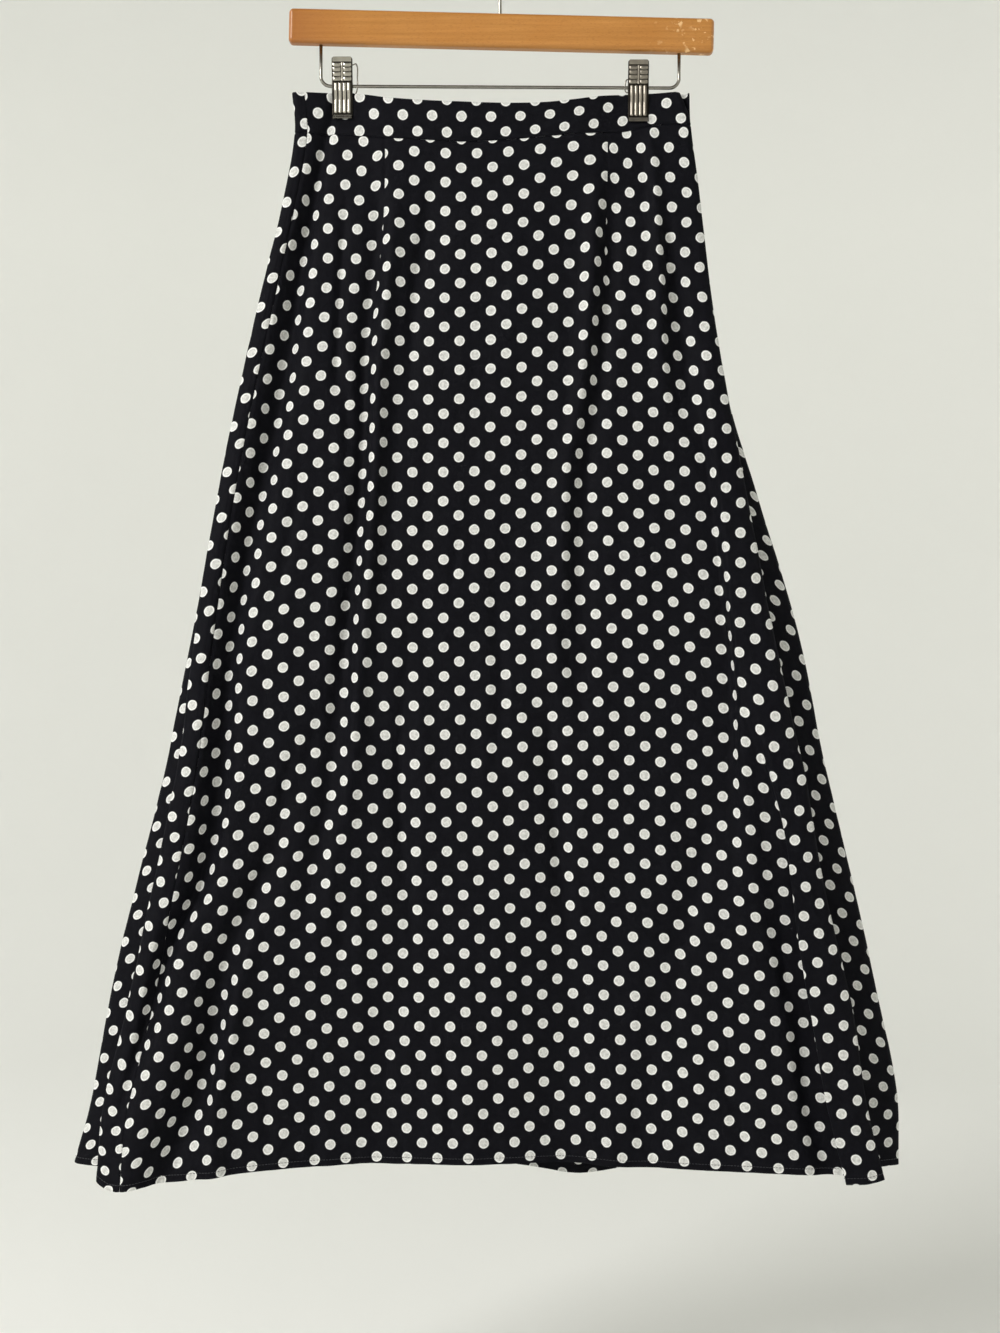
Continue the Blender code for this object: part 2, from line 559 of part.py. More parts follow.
def cylinder_cutter(name, radius, length, middle, axis, cutters):
    """Round cutter along one axis."""
    mesh = bpy.data.meshes.new(name)
    work = bmesh.new()
    bmesh.ops.create_cone(work, cap_ends=True, segments=16, radius1=radius, radius2=radius, depth=length)
    work.to_mesh(mesh)
    work.free()
    cutter = bpy.data.objects.new(name, mesh)
    turn = Matrix.Rotation(math.pi / 2, 4, "Y") if axis == "X" else Matrix.Identity(4)
    cutter.matrix_world = Matrix.Translation(middle) @ turn
    cutter.hide_render = True
    cutter.display_type = "WIRE"
    cutters.objects.link(cutter)
    return cutter


def combine(piece, other, operation):
    change = piece.modifiers.new(operation.lower(), "BOOLEAN")
    change.operation = operation
    change.solver = "EXACT"
    change.object = other


def bar_underside(x):
    """Height of the bar's underside at x."""
    down = BAR_HEIGHT / 2 / math.cos(BAR_TILT)
    return BAR_MIDDLE.z - down - (x - BAR_MIDDLE.x) * math.tan(BAR_TILT)


def bar_top(x):
    return bar_underside(x) + BAR_HEIGHT / math.cos(BAR_TILT)


def make_bar(parts, cutters, materials):
    """Varnished bar with rounded edges, bored for the hook and the wire's two ends."""
    bpy.ops.mesh.primitive_cube_add(size=1)
    bar = bpy.context.active_object
    bar.name = "hanger_bar"
    for holder in bar.users_collection:
        holder.objects.unlink(bar)
    parts.objects.link(bar)
    bar.data.transform(Matrix.Diagonal((BAR_LENGTH, BAR_DEPTH, BAR_HEIGHT, 1)))
    bar.rotation_euler = (0, BAR_TILT, 0)
    bar.location = BAR_MIDDLE
    bar.data.materials.append(materials["wood"])
    rounding = bar.modifiers.new("rounding", "BEVEL")
    rounding.width = BAR_ROUND
    rounding.segments = 3
    bore = HOOK_WIRE / 2 + SEAT_PLAY
    floor = bar_top(0) - HOOK_SEAT - SEAT_PLAY
    middle = (0, 0, floor + BORE_CUT / 2)
    combine(bar, cylinder_cutter("hook_bore", bore, BORE_CUT, middle, "Z", cutters), "DIFFERENCE")
    bore = CLIP_WIRE / 2 + SEAT_PLAY
    for label, x in (("left", -CLIP_WIRE_HALF), ("right", CLIP_WIRE_HALF)):
        roof = bar_underside(x) + CLIP_WIRE_SEAT + SEAT_PLAY
        middle = (x, 0, roof - BORE_CUT / 2)
        combine(bar, cylinder_cutter(f"wire_bore_{label}", bore, BORE_CUT, middle, "Z", cutters), "DIFFERENCE")


def make_hook(parts, materials):
    """Question-mark hook whose inner top is the origin."""
    top = HOOK_WIRE / 2
    middle = Vector((0, 0, top - HOOK_RADIUS))

    def on_arc(angle):
        return middle + HOOK_RADIUS * Vector((math.cos(angle), 0, math.sin(angle)))

    start = on_arc(HOOK_START)
    along = Vector((-math.sin(HOOK_START), 0, math.cos(HOOK_START)))
    corner = start - along * (start.x / along.x)
    foot = Vector((0, 0, bar_top(0) - HOOK_SEAT))
    path = fillet([foot, corner, start], HOOK_BEND)[:-1]
    steps = 20
    path += [on_arc(HOOK_START + (HOOK_END - HOOK_START) * k / steps) for k in range(steps + 1)]
    wire_object("hanger_hook", path, HOOK_WIRE, materials["steel"], parts)


def wire_height(x):
    """Height of the clip wire's long run at x."""
    share = (x + CLIP_WIRE_HALF) / (2 * CLIP_WIRE_HALF)
    return CLIP_WIRE_LEFT_Z + (CLIP_WIRE_RIGHT_Z - CLIP_WIRE_LEFT_Z) * share


def make_clip_wire(parts, materials):
    """Flat U of wire under the bar, which the clips slide on."""
    half = CLIP_WIRE_HALF
    corners = [Vector((-half, 0, bar_underside(-half) + CLIP_WIRE_SEAT)), Vector((-half, 0, CLIP_WIRE_LEFT_Z)),
               Vector((half, 0, CLIP_WIRE_RIGHT_Z)), Vector((half, 0, bar_underside(half) + CLIP_WIRE_SEAT))]
    wire_object("clip_wire", fillet(corners, CLIP_WIRE_BEND, 4), CLIP_WIRE, materials["steel"], parts)


def jaw_outline(top, pivot, out):
    """Side outline of one jaw in mm, with out -1 for the front jaw and 1 for the back one."""
    tip = top - CLIP_TALL
    line = ((JAW_HEAD_OUT, top), (JAW_HEAD_OUT - 0.6, top - 8), (JAW_WAIST_OUT, pivot + 5),
            (JAW_WAIST_OUT, pivot - 5), (JAW_GRIP_OUT, pivot - 12), (JAW_GRIP_OUT, tip + 3),
            (JAW_GRIP_OUT + 1.2, tip))
    inner = [(out * (y - (JAW_PLATE / 2 if y > JAW_GRIP_OUT + 1.5 else 0)), z) for y, z in line]
    outer = [(out * (abs(y) + JAW_PLATE), z) for y, z in inner]
    return inner + outer[::-1]


def ear_outline(pivot, out):
    """D-shaped ear round the wire, which runs out to its jaw's plate."""
    arc = [math.pi / 2 + math.pi * k / 8 for k in range(9)]
    nose = [(-out * EAR_RADIUS * -math.cos(a), pivot + EAR_RADIUS * math.sin(a)) for a in arc]
    reach = out * (JAW_WAIST_OUT + 0.2)
    return nose + [(reach, pivot - EAR_RADIUS), (reach, pivot + EAR_RADIUS)]


def make_jaw(name, middle, top, out, wide, ear_at, parts, cutters, materials):
    """Pressed steel jaw with two ears on the wire."""
    steel = materials["steel"]
    pivot = wire_height(middle * MM) / MM
    jaw = outline_object(name, jaw_outline(top, pivot, out), wide, middle, steel, parts)
    for label, way in (("a", -1), ("b", 1)):
        ear = outline_object(f"{name}_ear_{label}", ear_outline(pivot, out), EAR_PLATE,
                             middle + way * ear_at, steel, cutters)
        ear.hide_render = True
        ear.display_type = "WIRE"
        combine(jaw, ear, "UNION")
    hole = cylinder_cutter(f"{name}_hole", CLIP_WIRE / 2 + SEAT_PLAY, 2 * wide * MM,
                           (middle * MM, 0, pivot * MM), "X", cutters)
    combine(jaw, hole, "DIFFERENCE")


def make_spring(name, middle, parts, materials):
    """Plain barrel in the outer shape of the torsion spring, round the wire."""
    pivot = wire_height(middle * MM)
    inner = CLIP_WIRE / 2 + SEAT_PLAY
    outer = SPRING_RADIUS * MM
    half = SPRING_LONG * MM / 2
    mesh = bpy.data.meshes.new(name)
    mesh.from_pydata([(inner, 0, half), (outer, 0, half), (outer, 0, -half), (inner, 0, -half)],
                     [(0, 1), (1, 2), (2, 3), (3, 0)], [])
    barrel = bpy.data.objects.new(name, mesh)
    parts.objects.link(barrel)
    turned = barrel.modifiers.new("turn", "SCREW")
    turned.steps = 16
    turned.render_steps = 16
    turned.use_merge_vertices = True
    turned.merge_threshold = 1e-5
    barrel.matrix_world = (Matrix.Translation((middle * MM, 0, pivot)) @ Matrix.Rotation(math.pi / 2, 4, "Y"))
    mesh.materials.append(materials["steel"])


def make_clips(parts, cutters, materials):
    """Both clips: a wide front jaw, a narrower back jaw inside its ears, and the spring."""
    for label, (middle, top) in CLIPS.items():
        ear = FRONT_JAW_WIDE / 2 - EAR_PLATE / 2
        make_jaw(f"clip_{label}_front", middle, top, -1, FRONT_JAW_WIDE, ear, parts, cutters, materials)
        ear = BACK_JAW_WIDE / 2 - EAR_PLATE / 2
        make_jaw(f"clip_{label}_back", middle, top, 1, BACK_JAW_WIDE, ear, parts, cutters, materials)
        make_spring(f"clip_{label}_spring", middle, parts, materials)


def main():
    for old in list(bpy.data.objects):
        bpy.data.objects.remove(old)
    parts = bpy.data.collections.new("midi_skirt_on_hanger")
    cutters = bpy.data.collections.new("cutters")
    for holder in (parts, cutters):
        bpy.context.scene.collection.children.link(holder)
    materials = {name: paint(name) for name in COLOURS}
    make_skirt(parts, materials)
    make_waistband(parts, materials)
    make_bar(parts, cutters, materials)
    make_hook(parts, materials)
    make_clip_wire(parts, materials)
    make_clips(parts, cutters, materials)


main()
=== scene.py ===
"""Looks of an A-line midi skirt in dotted viscose, hung flat from a varnished wooden clip hanger.

The camera stands 1.4 m in front of the hanger and looks along +Y, as in the photograph.
The cloth is laid on the same rings as its solids, with many more points, its smaller creases and a
UV map in metres of flat cloth, so that the dots lie as they were printed before the pieces were cut.
"""

import math

import bmesh
import bpy
import numpy as np
from mathutils import Matrix, Vector, noise


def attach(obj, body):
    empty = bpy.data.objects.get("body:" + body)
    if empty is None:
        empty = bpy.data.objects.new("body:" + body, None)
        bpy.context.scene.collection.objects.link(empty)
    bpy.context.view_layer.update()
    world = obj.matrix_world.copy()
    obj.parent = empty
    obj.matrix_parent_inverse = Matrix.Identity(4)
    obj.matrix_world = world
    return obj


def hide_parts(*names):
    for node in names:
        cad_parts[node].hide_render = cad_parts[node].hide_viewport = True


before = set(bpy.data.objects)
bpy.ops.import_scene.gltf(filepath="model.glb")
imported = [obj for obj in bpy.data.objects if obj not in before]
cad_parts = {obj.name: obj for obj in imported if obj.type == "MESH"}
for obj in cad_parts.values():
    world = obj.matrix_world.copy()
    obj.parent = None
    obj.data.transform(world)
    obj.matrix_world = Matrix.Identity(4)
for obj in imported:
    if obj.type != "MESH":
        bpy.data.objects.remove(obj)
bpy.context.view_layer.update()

MM = 0.001

# Camera, from the photograph: 1.4 m away, level, at the height of the middle of the skirt
PICTURE_HIGH = 1333
CAMERA_AWAY = 1.4
CAMERA_HEIGHT = -0.6125
PIXEL = 0.825 * MM              # size of one pixel at the hanger's plane
SENSOR = 36.0                   # mm along the picture's long side

# Shape of the hanging tube, as in the solids. A level is a share of the skirt's length: 0 is the waist
# seam, 1 the hem and BAND_LEVEL the band's top edge.
BAND_LEVEL = -0.04
HEM_LEVEL = 1.0
LEFT_SEAM = 0.033               # the left side seam shows on the front, this share of the width in
# Side edges of the two layers, in mm from the middle of the hanger
SIDES = (
    # level, front_left, back_left, front_right, back_right
    (-0.04, -171.5, -171.5, 156.5, 156.5),
    (0.00, -169.5, -169.5, 157.5, 157.5),
    (0.06, -178.0, -178.0, 164.0, 164.0),
    (0.16, -197.0, -197.0, 173.5, 173.5),
    (0.26, -216.0, -216.5, 186.0, 189.0),
    (0.37, -234.0, -236.5, 202.5, 218.0),
    (0.49, -249.5, -257.0, 221.0, 248.0),
    (0.61, -263.0, -277.0, 243.0, 269.0),
    (0.72, -281.5, -301.0, 260.0, 292.0),
    (0.84, -303.5, -325.0, 282.5, 314.0),
    (0.93, -321.0, -339.0, 293.0, 330.0),
    (1.00, -326.0, -354.5, 306.5, 332.0),
)

# Depth of the layers, in mm in front of (-) and behind (+) the hanger's plane, and how far the side
# folds in between the layers like a bellows.
DEPTHS = (
    # level, front_middle, front_left, front_right, back_middle, back_left, back_right,
    #                                              fold_radius, left_tuck, right_tuck
    (-0.04, -7.0, -4.4, -4.4, 7.0, 4.4, 4.4, 1.9, 0.0, 0.0),
    (0.00, -6.0, -4.4, -4.4, 6.0, 4.4, 4.4, 1.9, 0.0, 0.0),
    (0.06, -8.0, -5.6, -5.6, 9.0, 5.6, 5.6, 2.4, 0.0, 0.0),
    (0.16, -11.0, -9.0, -8.0, 13.0, 8.0, 8.0, 3.2, 0.0, 1.0),
    (0.26, -13.0, -13.0, -11.0, 17.0, 10.0, 10.0, 3.6, 0.0, 6.0),
    (0.37, -14.0, -17.0, -14.0, 21.0, 12.0, 11.0, 4.0, 1.0, 12.0),
    (0.49, -14.0, -20.0, -17.0, 25.0, 14.0, 12.0, 4.2, 6.0, 17.0),
    (0.61, -14.0, -24.0, -20.0, 29.0, 16.0, 13.0, 4.5, 12.0, 21.0),
    (0.72, -14.0, -27.0, -23.0, 32.0, 17.0, 14.0, 4.8, 17.0, 24.0),
    (0.84, -13.0, -30.0, -27.0, 35.0, 18.0, 15.0, 5.0, 21.0, 26.0),
    (0.93, -12.0, -32.0, -29.0, 38.0, 19.0, 16.0, 5.0, 24.0, 27.0),
    (1.00, -12.0, -33.0, -30.0, 41.0, 20.0, 17.0, 5.0, 26.0, 28.0),
)

# Folds, as (level, share of the layer's width, depth in mm, half width in mm). A plus depth leans
# away from the viewer in front. A "hollow" is a soft trough or, with a minus depth, a ridge. A "wave"
# is a ridge with a trough to its right, and a "step" brings all that lies to its right forward.
FRONT_FOLDS = {
    "left_trough": ("hollow", (
        (0.00, 0.076, 0.5, 7), (0.03, 0.072, 4.0, 7), (0.09, 0.070, 9.0, 8), (0.16, 0.078, 11.5, 8.5),
        (0.25, 0.085, 12.0, 10), (0.40, 0.070, 14.0, 10), (0.53, 0.062, 15.0, 10), (0.65, 0.070, 15.0, 10),
        (0.72, 0.065, 15.0, 9), (0.78, 0.038, 14.0, 8), (0.84, 0.033, 11.0, 8), (0.90, 0.028, 7.0, 8),
        (0.94, 0.024, 2.0, 8), (1.00, 0.022, 0.0, 8))),
    "left_flute": ("hollow", (
        (0.74, 0.085, 0.0, 20), (0.84, 0.075, -4.0, 22), (0.92, 0.060, -8.0, 24), (1.00, 0.050, -10.0, 26))),
    "slanting_trough": ("hollow", (
        (0.56, 0.235, 0.0, 12), (0.65, 0.180, 4.0, 12), (0.70, 0.170, 7.0, 12), (0.78, 0.131, 10.5, 13),
        (0.84, 0.122, 13.5, 13), (0.91, 0.118, 15.0, 14), (0.95, 0.104, 13.0, 14), (1.00, 0.078, 10.0, 14))),
    "slanting_ridge": ("hollow", (
        (0.72, 0.165, 0.0, 9), (0.80, 0.152, -5.0, 9), (0.88, 0.150, -8.0, 9), (1.00, 0.146, -6.0, 10))),
    "left_dart_fold": ("wave", (
        (0.03, 0.235, 0.0, 8), (0.10, 0.257, -4.5, 7), (0.21, 0.266, -7.0, 6.5), (0.31, 0.283, -7.5, 6.5),
        (0.41, 0.283, -7.5, 7), (0.51, 0.275, -6.5, 7.5), (0.60, 0.266, -5.5, 8), (0.70, 0.255, -4.5, 8.5),
        (0.80, 0.245, 0.0, 10))),
    "left_middle_trough": ("hollow", (
        (0.02, 0.355, 0.0, 12), (0.10, 0.360, 2.5, 12), (0.26, 0.332, 3.5, 13), (0.36, 0.335, 2.0, 13),
        (0.46, 0.330, 0.0, 13))),
    "right_dart_fold": ("wave", (
        (0.02, 0.785, 0.0, 8), (0.09, 0.763, 5.5, 7), (0.16, 0.749, 6.0, 7), (0.26, 0.716, 5.5, 7),
        (0.33, 0.684, 5.5, 8), (0.41, 0.666, 5.0, 9), (0.49, 0.652, 3.5, 11), (0.60, 0.640, 0.0, 13))),
    "right_ridge": ("hollow", (
        (0.05, 0.893, -1.0, 6), (0.09, 0.892, -4.0, 6), (0.16, 0.887, -6.0, 6), (0.22, 0.876, -5.0, 7),
        (0.29, 0.870, 0.0, 8))),
    "right_trough": ("hollow", (
        (0.07, 0.905, 0.0, 7), (0.11, 0.913, 4.0, 6), (0.16, 0.921, 6.5, 7), (0.22, 0.923, 6.5, 7),
        (0.31, 0.921, 0.0, 8))),
    "centre_trough": ("hollow", (
        (0.50, 0.580, 0.0, 14), (0.56, 0.597, 2.5, 14), (0.66, 0.611, 4.0, 16), (0.80, 0.609, 4.0, 18),
        (1.00, 0.605, 4.5, 22))),
    "centre_left_trough": ("hollow", (
        (0.54, 0.300, 0.0, 10), (0.60, 0.345, 2.5, 11), (0.68, 0.370, 3.5, 12), (0.82, 0.368, 3.0, 14),
        (1.00, 0.345, 4.0, 18))),
    "centre_right_trough": ("hollow", (
        (0.62, 0.845, 0.0, 12), (0.70, 0.820, 3.0, 13), (0.78, 0.775, 3.0, 15), (0.88, 0.735, 3.0, 16),
        (1.00, 0.710, 4.0, 20))),
    "centre_ridge": ("hollow", (
        (0.60, 0.480, 0.0, 30), (0.80, 0.480, -3.0, 32), (1.00, 0.475, -5.0, 36))),
    "upper_step": ("step", (
        (0.20, 0.955, 0.0, 5), (0.27, 0.948, -7.0, 5), (0.38, 0.940, -12.0, 5), (0.48, 0.928, -15.0, 5.5),
        (0.54, 0.918, -15.0, 6), (0.62, 0.896, -13.0, 6.5), (0.69, 0.882, -7.0, 8), (0.77, 0.870, 0.0, 10))),
    "lower_step": ("step", (
        (0.46, 0.936, 0.0, 6), (0.52, 0.935, -4.0, 6), (0.58, 0.937, -7.0, 6), (0.62, 0.946, -9.0, 6),
        (0.69, 0.956, -12.0, 6), (0.75, 0.953, -14.0, 6),
        (0.83, 0.949, -17.0, 6), (0.91, 0.957, -19.0, 6), (1.00, 0.961, -20.0, 6))),
    "step_trough": ("hollow", (
        (0.60, 0.925, 0.0, 9), (0.69, 0.931, 4.0, 9), (0.80, 0.925, 8.0, 10), (0.91, 0.933, 9.0, 10),
        (1.00, 0.937, 9.0, 11))),
}
# Folds of both layers beside a clip, which the clip doesn't press flat
CLIP_FOLDS = {
    "left_of_left_clip": ("hollow", (
        (-0.045, 0.118, 2.5, 4.5), (-0.02, 0.098, 4.0, 4.5), (0.00, 0.080, 5.0, 4.5), (0.03, 0.074, 5.5, 5),
        (0.07, 0.067, 4.5, 5.5), (0.11, 0.072, 2.0, 6), (0.15, 0.078, 0.0, 7))),
    "right_of_right_clip": ("hollow", (
        (-0.01, 0.897, 0.0, 5), (0.02, 0.894, -2.5, 5), (0.05, 0.892, -3.5, 5), (0.09, 0.891, -1.5, 5),
        (0.12, 0.890, 0.0, 6))),
}
# How far the cloth laps over itself at the upper and the lower step, in mm, by level
LAP = ((0.50, 0.0), (0.58, 1.5), (0.62, 3.0), (0.69, 7.0), (0.75, 8.5), (0.83, 10.0), (0.91, 11.0),
       (1.00, 12.0))
UPPER_LAP = ((0.30, 0.0), (0.40, 1.6), (0.50, 2.8), (0.58, 2.8), (0.66, 1.2), (0.73, 0.0))
LAP_WIDTH = 6.0
PINCH_FLAT = 9.0                # mm on each side of a clip's middle that it holds flat
PINCH_WIDTH = 22.0              # mm over which the pinch fades
PINCH_DEPTH = 2.0               # outer face of each layer in the clips, mm from the hanger's plane
PINCH_END = 0.11                # level where the pinch has opened out

BACK_FOLDS = {
    "right_flute": ("hollow", (
        (0.02, 0.13, 0.0, 12), (0.12, 0.13, -4.0, 13), (0.35, 0.12, -8.0, 15), (0.60, 0.135, -11.0, 17),
        (0.80, 0.125, -13.0, 18), (1.00, 0.115, -14.0, 20))),
    "right_dart_fold": ("wave", (
        (0.03, 0.225, 0.0, 9), (0.11, 0.235, 4.0, 9), (0.25, 0.255, 4.0, 11), (0.45, 0.290, 0.0, 14))),
    "centre_right": ("hollow", (
        (0.25, 0.42, 0.0, 20), (0.45, 0.40, -4.0, 22), (0.70, 0.375, -8.0, 24), (1.00, 0.385, -11.0, 28))),
    "centre_left": ("hollow", (
        (0.30, 0.60, 0.0, 20), (0.55, 0.63, -6.0, 22), (0.80, 0.645, -10.0, 24), (1.00, 0.630, -12.0, 26))),
    "left_dart_fold": ("wave", (
        (0.03, 0.775, 0.0, 9), (0.11, 0.765, -3.5, 9), (0.25, 0.750, -4.0, 11), (0.42, 0.730, 0.0, 14))),
    "left_flute": ("hollow", (
        (0.04, 0.87, 0.0, 12), (0.15, 0.87, -4.0, 14), (0.40, 0.88, -7.0, 16), (0.65, 0.865, -10.0, 18),
        (1.00, 0.875, -13.0, 20))),
    "right_crest": ("hollow", ((0.50, 0.25, 0.0, 26), (1.00, 0.25, 6.0, 34))),
    "middle_crest": ("hollow", ((0.50, 0.51, 0.0, 30), (1.00, 0.51, 6.0, 40))),
    "left_crest": ("hollow", ((0.50, 0.76, 0.0, 26), (1.00, 0.76, 6.0, 34))),
}

# Heights, in mm below the hook, by share of the layer's width.
BAND_TOP = ((0.0, -140.2), (0.10, -140.6), (0.17, -141.4), (0.24, -145.2), (0.32, -147.6), (0.47, -149.6),
            (0.56, -150.2), (0.64, -149.4), (0.71, -147.0), (0.78, -143.6), (0.83, -142.2), (0.92, -140.9),
            (1.0, -140.0))
BAND_TOP_BACK = ((0.0, -140.0), (0.13, -141.2), (0.30, -148.0), (0.50, -152.5), (0.70, -149.0),
                 (0.87, -141.6), (1.0, -140.2))
WAIST_SEAM = ((0.0, -172.8), (0.12, -174.2), (0.25, -178.0), (0.33, -179.4), (0.41, -181.0), (0.50, -180.2),
              (0.57, -178.6), (0.65, -176.2), (0.73, -174.0), (0.83, -172.0), (0.905, -166.6),
              (1.0, -166.0))
WAIST_SEAM_BACK = ((0.0, -167.0), (0.15, -172.4), (0.50, -183.0), (0.85, -174.4), (1.0, -172.8))
HEM = ((0.0, -1027.0), (0.02, -1033.0), (0.06, -1031.5), (0.12, -1027.5), (0.20, -1023.0), (0.30, -1020.0),
       (0.50, -1018.5), (0.60, -1018.5), (0.68, -1022.2), (0.75, -1022.6), (0.90, -1023.8),
       (0.95, -1025.5), (0.98, -1024.5), (1.0, -1022.0))
HEM_BACK = ((0.0, -1026.0), (0.15, -1028.0), (0.30, -1033.0), (0.345, -1036.6), (0.388, -1038.6),
            (0.42, -1037.4), (0.47, -1034.2), (0.52, -1031.0), (0.65, -1027.5), (0.85, -1026.0),
            (1.0, -1025.0))

# More cloth of the band is taken into the seam beyond the right clip: mm from the middle, mm of cloth
SEAM_RISE = ((104.0, 0.0), (126.4, 5.0), (157.5, 5.4))

BAND_END_DRAW = 8.0             # the front band's right end stops this far short at the top, mm
BAND_END_RUN = 28.0             # mm of band that are drawn in there
BAND_END_CURVE = 1.5            # power by which that grows from the waist seam up to the top
SIDE_SHARE = 0.35               # share of the width over which a side's depth takes over from the middle's
FOLD_REACH = 2.2                # fold radii from the side edge to where the layer's flat run ends
EDGE_DRAW = 0.6                 # mm that the side edges lie further in at the waist
OPEN_LEVEL = 0.25               # level from which the side folds are fully open
FULL_TUCK = 12.0                # mm of tuck from which a folded edge is fully round
SIDE_SEAM = 1.0                 # mm before and behind the right side seam that run straight through it
CURL_IN = 0.9                   # place of the point that rounds a folded edge, in fold radii inward
CURL_DEEP = 1.1                 # and in fold radii deeper

# Small creases of the front layer, soft at both ends; a positive size is a trough
FRONT_CREASES = (
    # top level, share, bottom level, share, bow mm, size mm, half width mm
    (0.050, 0.147, 0.275, 0.208, 0, 4.4, 3.6),
    (0.215, 0.198, 0.340, 0.243, 4, 3.4, 5.1),
    (0.030, 0.357, 0.260, 0.357, -6, 2.6, 5.1),
    (0.280, 0.397, 0.420, 0.414, -3, 1.4, 6.0),
    (0.130, 0.918, 0.300, 0.912, -8, 2.7, 5.1),
    (0.060, 0.560, 0.230, 0.548, 3, -1.4, 11.0),
    (0.380, 0.463, 0.455, 0.439, 0, 1.6, 2.8),
    (0.400, 0.520, 0.640, 0.505, 7, 2.4, 5.6),
    (0.360, 0.640, 0.560, 0.662, -6, 2.2, 5.0),
    (0.405, 0.326, 0.450, 0.352, 0, 1.1, 2.6),
    (0.330, 0.560, 0.520, 0.571, -5, 1.3, 8.5),
    (0.320, 0.150, 0.460, 0.131, 3, 1.9, 5.1),
    (0.480, 0.373, 0.745, 0.380, -9, 4.2, 5.6),
    (0.500, 0.404, 0.700, 0.409, -5, -2.1, 6.0),
    (0.515, 0.233, 0.570, 0.248, 2, 1.4, 2.6),
    (0.560, 0.223, 0.612, 0.204, 0, 1.6, 3.0),
    (0.588, 0.190, 0.672, 0.176, -4, 2.2, 3.8),
    (0.625, 0.257, 0.710, 0.276, 3, 1.6, 3.4),
    (0.690, 0.162, 0.790, 0.158, -5, 2.1, 3.8),
    (0.726, 0.280, 0.815, 0.285, 4, 1.8, 3.4),
    (0.706, 0.258, 0.765, 0.258, 0, 1.3, 3.0),
    (0.720, 0.379, 0.812, 0.389, 2, 1.9, 3.8),
    (0.530, 0.606, 0.820, 0.622, -3, 3.5, 6.0),
    (0.600, 0.640, 0.800, 0.649, -4, -2.2, 6.8),
    (0.706, 0.641, 0.785, 0.650, 3, 1.6, 3.4),
    (0.640, 0.858, 0.800, 0.776, 2, 2.6, 5.1),
    (0.815, 0.762, 0.912, 0.773, -6, 2.1, 4.2),
    (0.700, 0.300, 0.860, 0.318, 3, -1.9, 6.8),
    (0.740, 0.520, 0.930, 0.507, 4, -1.6, 9.3),
    (0.860, 0.432, 0.990, 0.458, 5, 2.6, 4.2),
    (0.880, 0.366, 0.935, 0.366, 2, 1.4, 3.0),
    (0.905, 0.209, 0.985, 0.218, 0, 2.1, 3.4),
    (0.935, 0.377, 1.010, 0.399, -2, 2.4, 3.8),
    (0.925, 0.584, 0.980, 0.587, 2, 1.4, 3.4),
    (0.930, 0.648, 1.000, 0.648, 2, 1.9, 3.8),
    (0.925, 0.705, 0.990, 0.709, -3, 1.8, 3.4),
    (0.770, 0.530, 0.825, 0.526, 0, 1.1, 3.0),
    (0.885, 0.268, 1.010, 0.276, 3, 1.9, 5.1),
    (0.870, 0.830, 1.010, 0.842, -3, 2.1, 6.0),
    (0.900, 0.520, 1.010, 0.512, -3, 1.6, 6.8),
)

# The same sort of creases on the back; there a negative size is a trough
BACK_CREASES = (
    # top level, share from the right, bottom level, share, bow mm, size mm, half width mm
    (0.050, 0.215, 0.240, 0.232, 4, -3.0, 5.1),
    (0.060, 0.790, 0.270, 0.768, -5, -3.4, 5.1),
    (0.180, 0.420, 0.420, 0.410, 5, -1.9, 7.6),
    (0.250, 0.620, 0.520, 0.634, -6, -2.2, 6.8),
    (0.360, 0.270, 0.610, 0.290, 5, -2.6, 6.0),
    (0.420, 0.800, 0.640, 0.812, -4, -1.9, 5.1),
    (0.500, 0.510, 0.780, 0.495, 6, -2.9, 7.6),
    (0.560, 0.180, 0.720, 0.165, 3, -1.9, 4.2),
    (0.600, 0.700, 0.860, 0.712, -5, -2.7, 6.0),
    (0.680, 0.370, 0.900, 0.384, 4, -2.2, 5.1),
    (0.740, 0.850, 0.900, 0.866, 3, -1.9, 4.2),
    (0.780, 0.590, 1.010, 0.600, -4, -2.6, 6.8),
    (0.850, 0.240, 1.010, 0.232, 3, -2.1, 4.2),
    (0.870, 0.450, 1.010, 0.462, -2, -1.9, 4.2),
    (0.900, 0.760, 1.010, 0.748, 2, -2.1, 4.2),
)

CREASE_ENDS = 0.8               # below 1 the creases end more bluntly

# The clips that hold the band: middle and top, in mm, as in the solids
CLIPS = {"left": (-129.8, -112.1), "right": (113.9, -114.5)}
CLIP_TALL = 49.4

# Uneven wrinkles of soft cloth, longer down the cloth than across it, in mm
PANEL_WRINKLES = (
    # height, wide, long, added to the seed
    (0.48, 15.0, 75.0, 0.0),
    (0.24, 5.0, 26.0, 7.0),
    (1.15, 24.0, 230.0, 3.0),
)
HEM_WRINKLES = ((0.42, 10.0, 75.0, 20.0), (0.21, 10 / 3, 26.0, 27.0))
BAND_WRINKLES = ((0.35, 25.0, 37.5, 0.0), (0.175, 25 / 3, 13.0, 7.0))
PULLED_FLAT = 0.85              # share of the wrinkles that the clips' pull takes out at the waist
SETTLE = 9.0                    # the wrinkles die out this near a side seam
HEM_SOFT = 26.0                 # the hem's stitching puckers the cloth this far above it
HEM_STITCH = 4.6                # the machine stitch lies this far above the edge
STITCH_PROUD = 0.10             # and stands this far out
# How deep cloth dips at a stitch, a dart and a seam, and how far from it, in mm
STITCH_DEEP = 0.22
STITCH_SOFT = 0.8
DART_DEEP = 0.55
DART_SOFT = 1.0
SEAM_DEEP = 0.45
SEAM_SOFT = 0.8
TURN_STEPS = 6                  # rows round a fold at an edge
BAND_SEAM = 0.3                 # the band's side seams are pressed flat

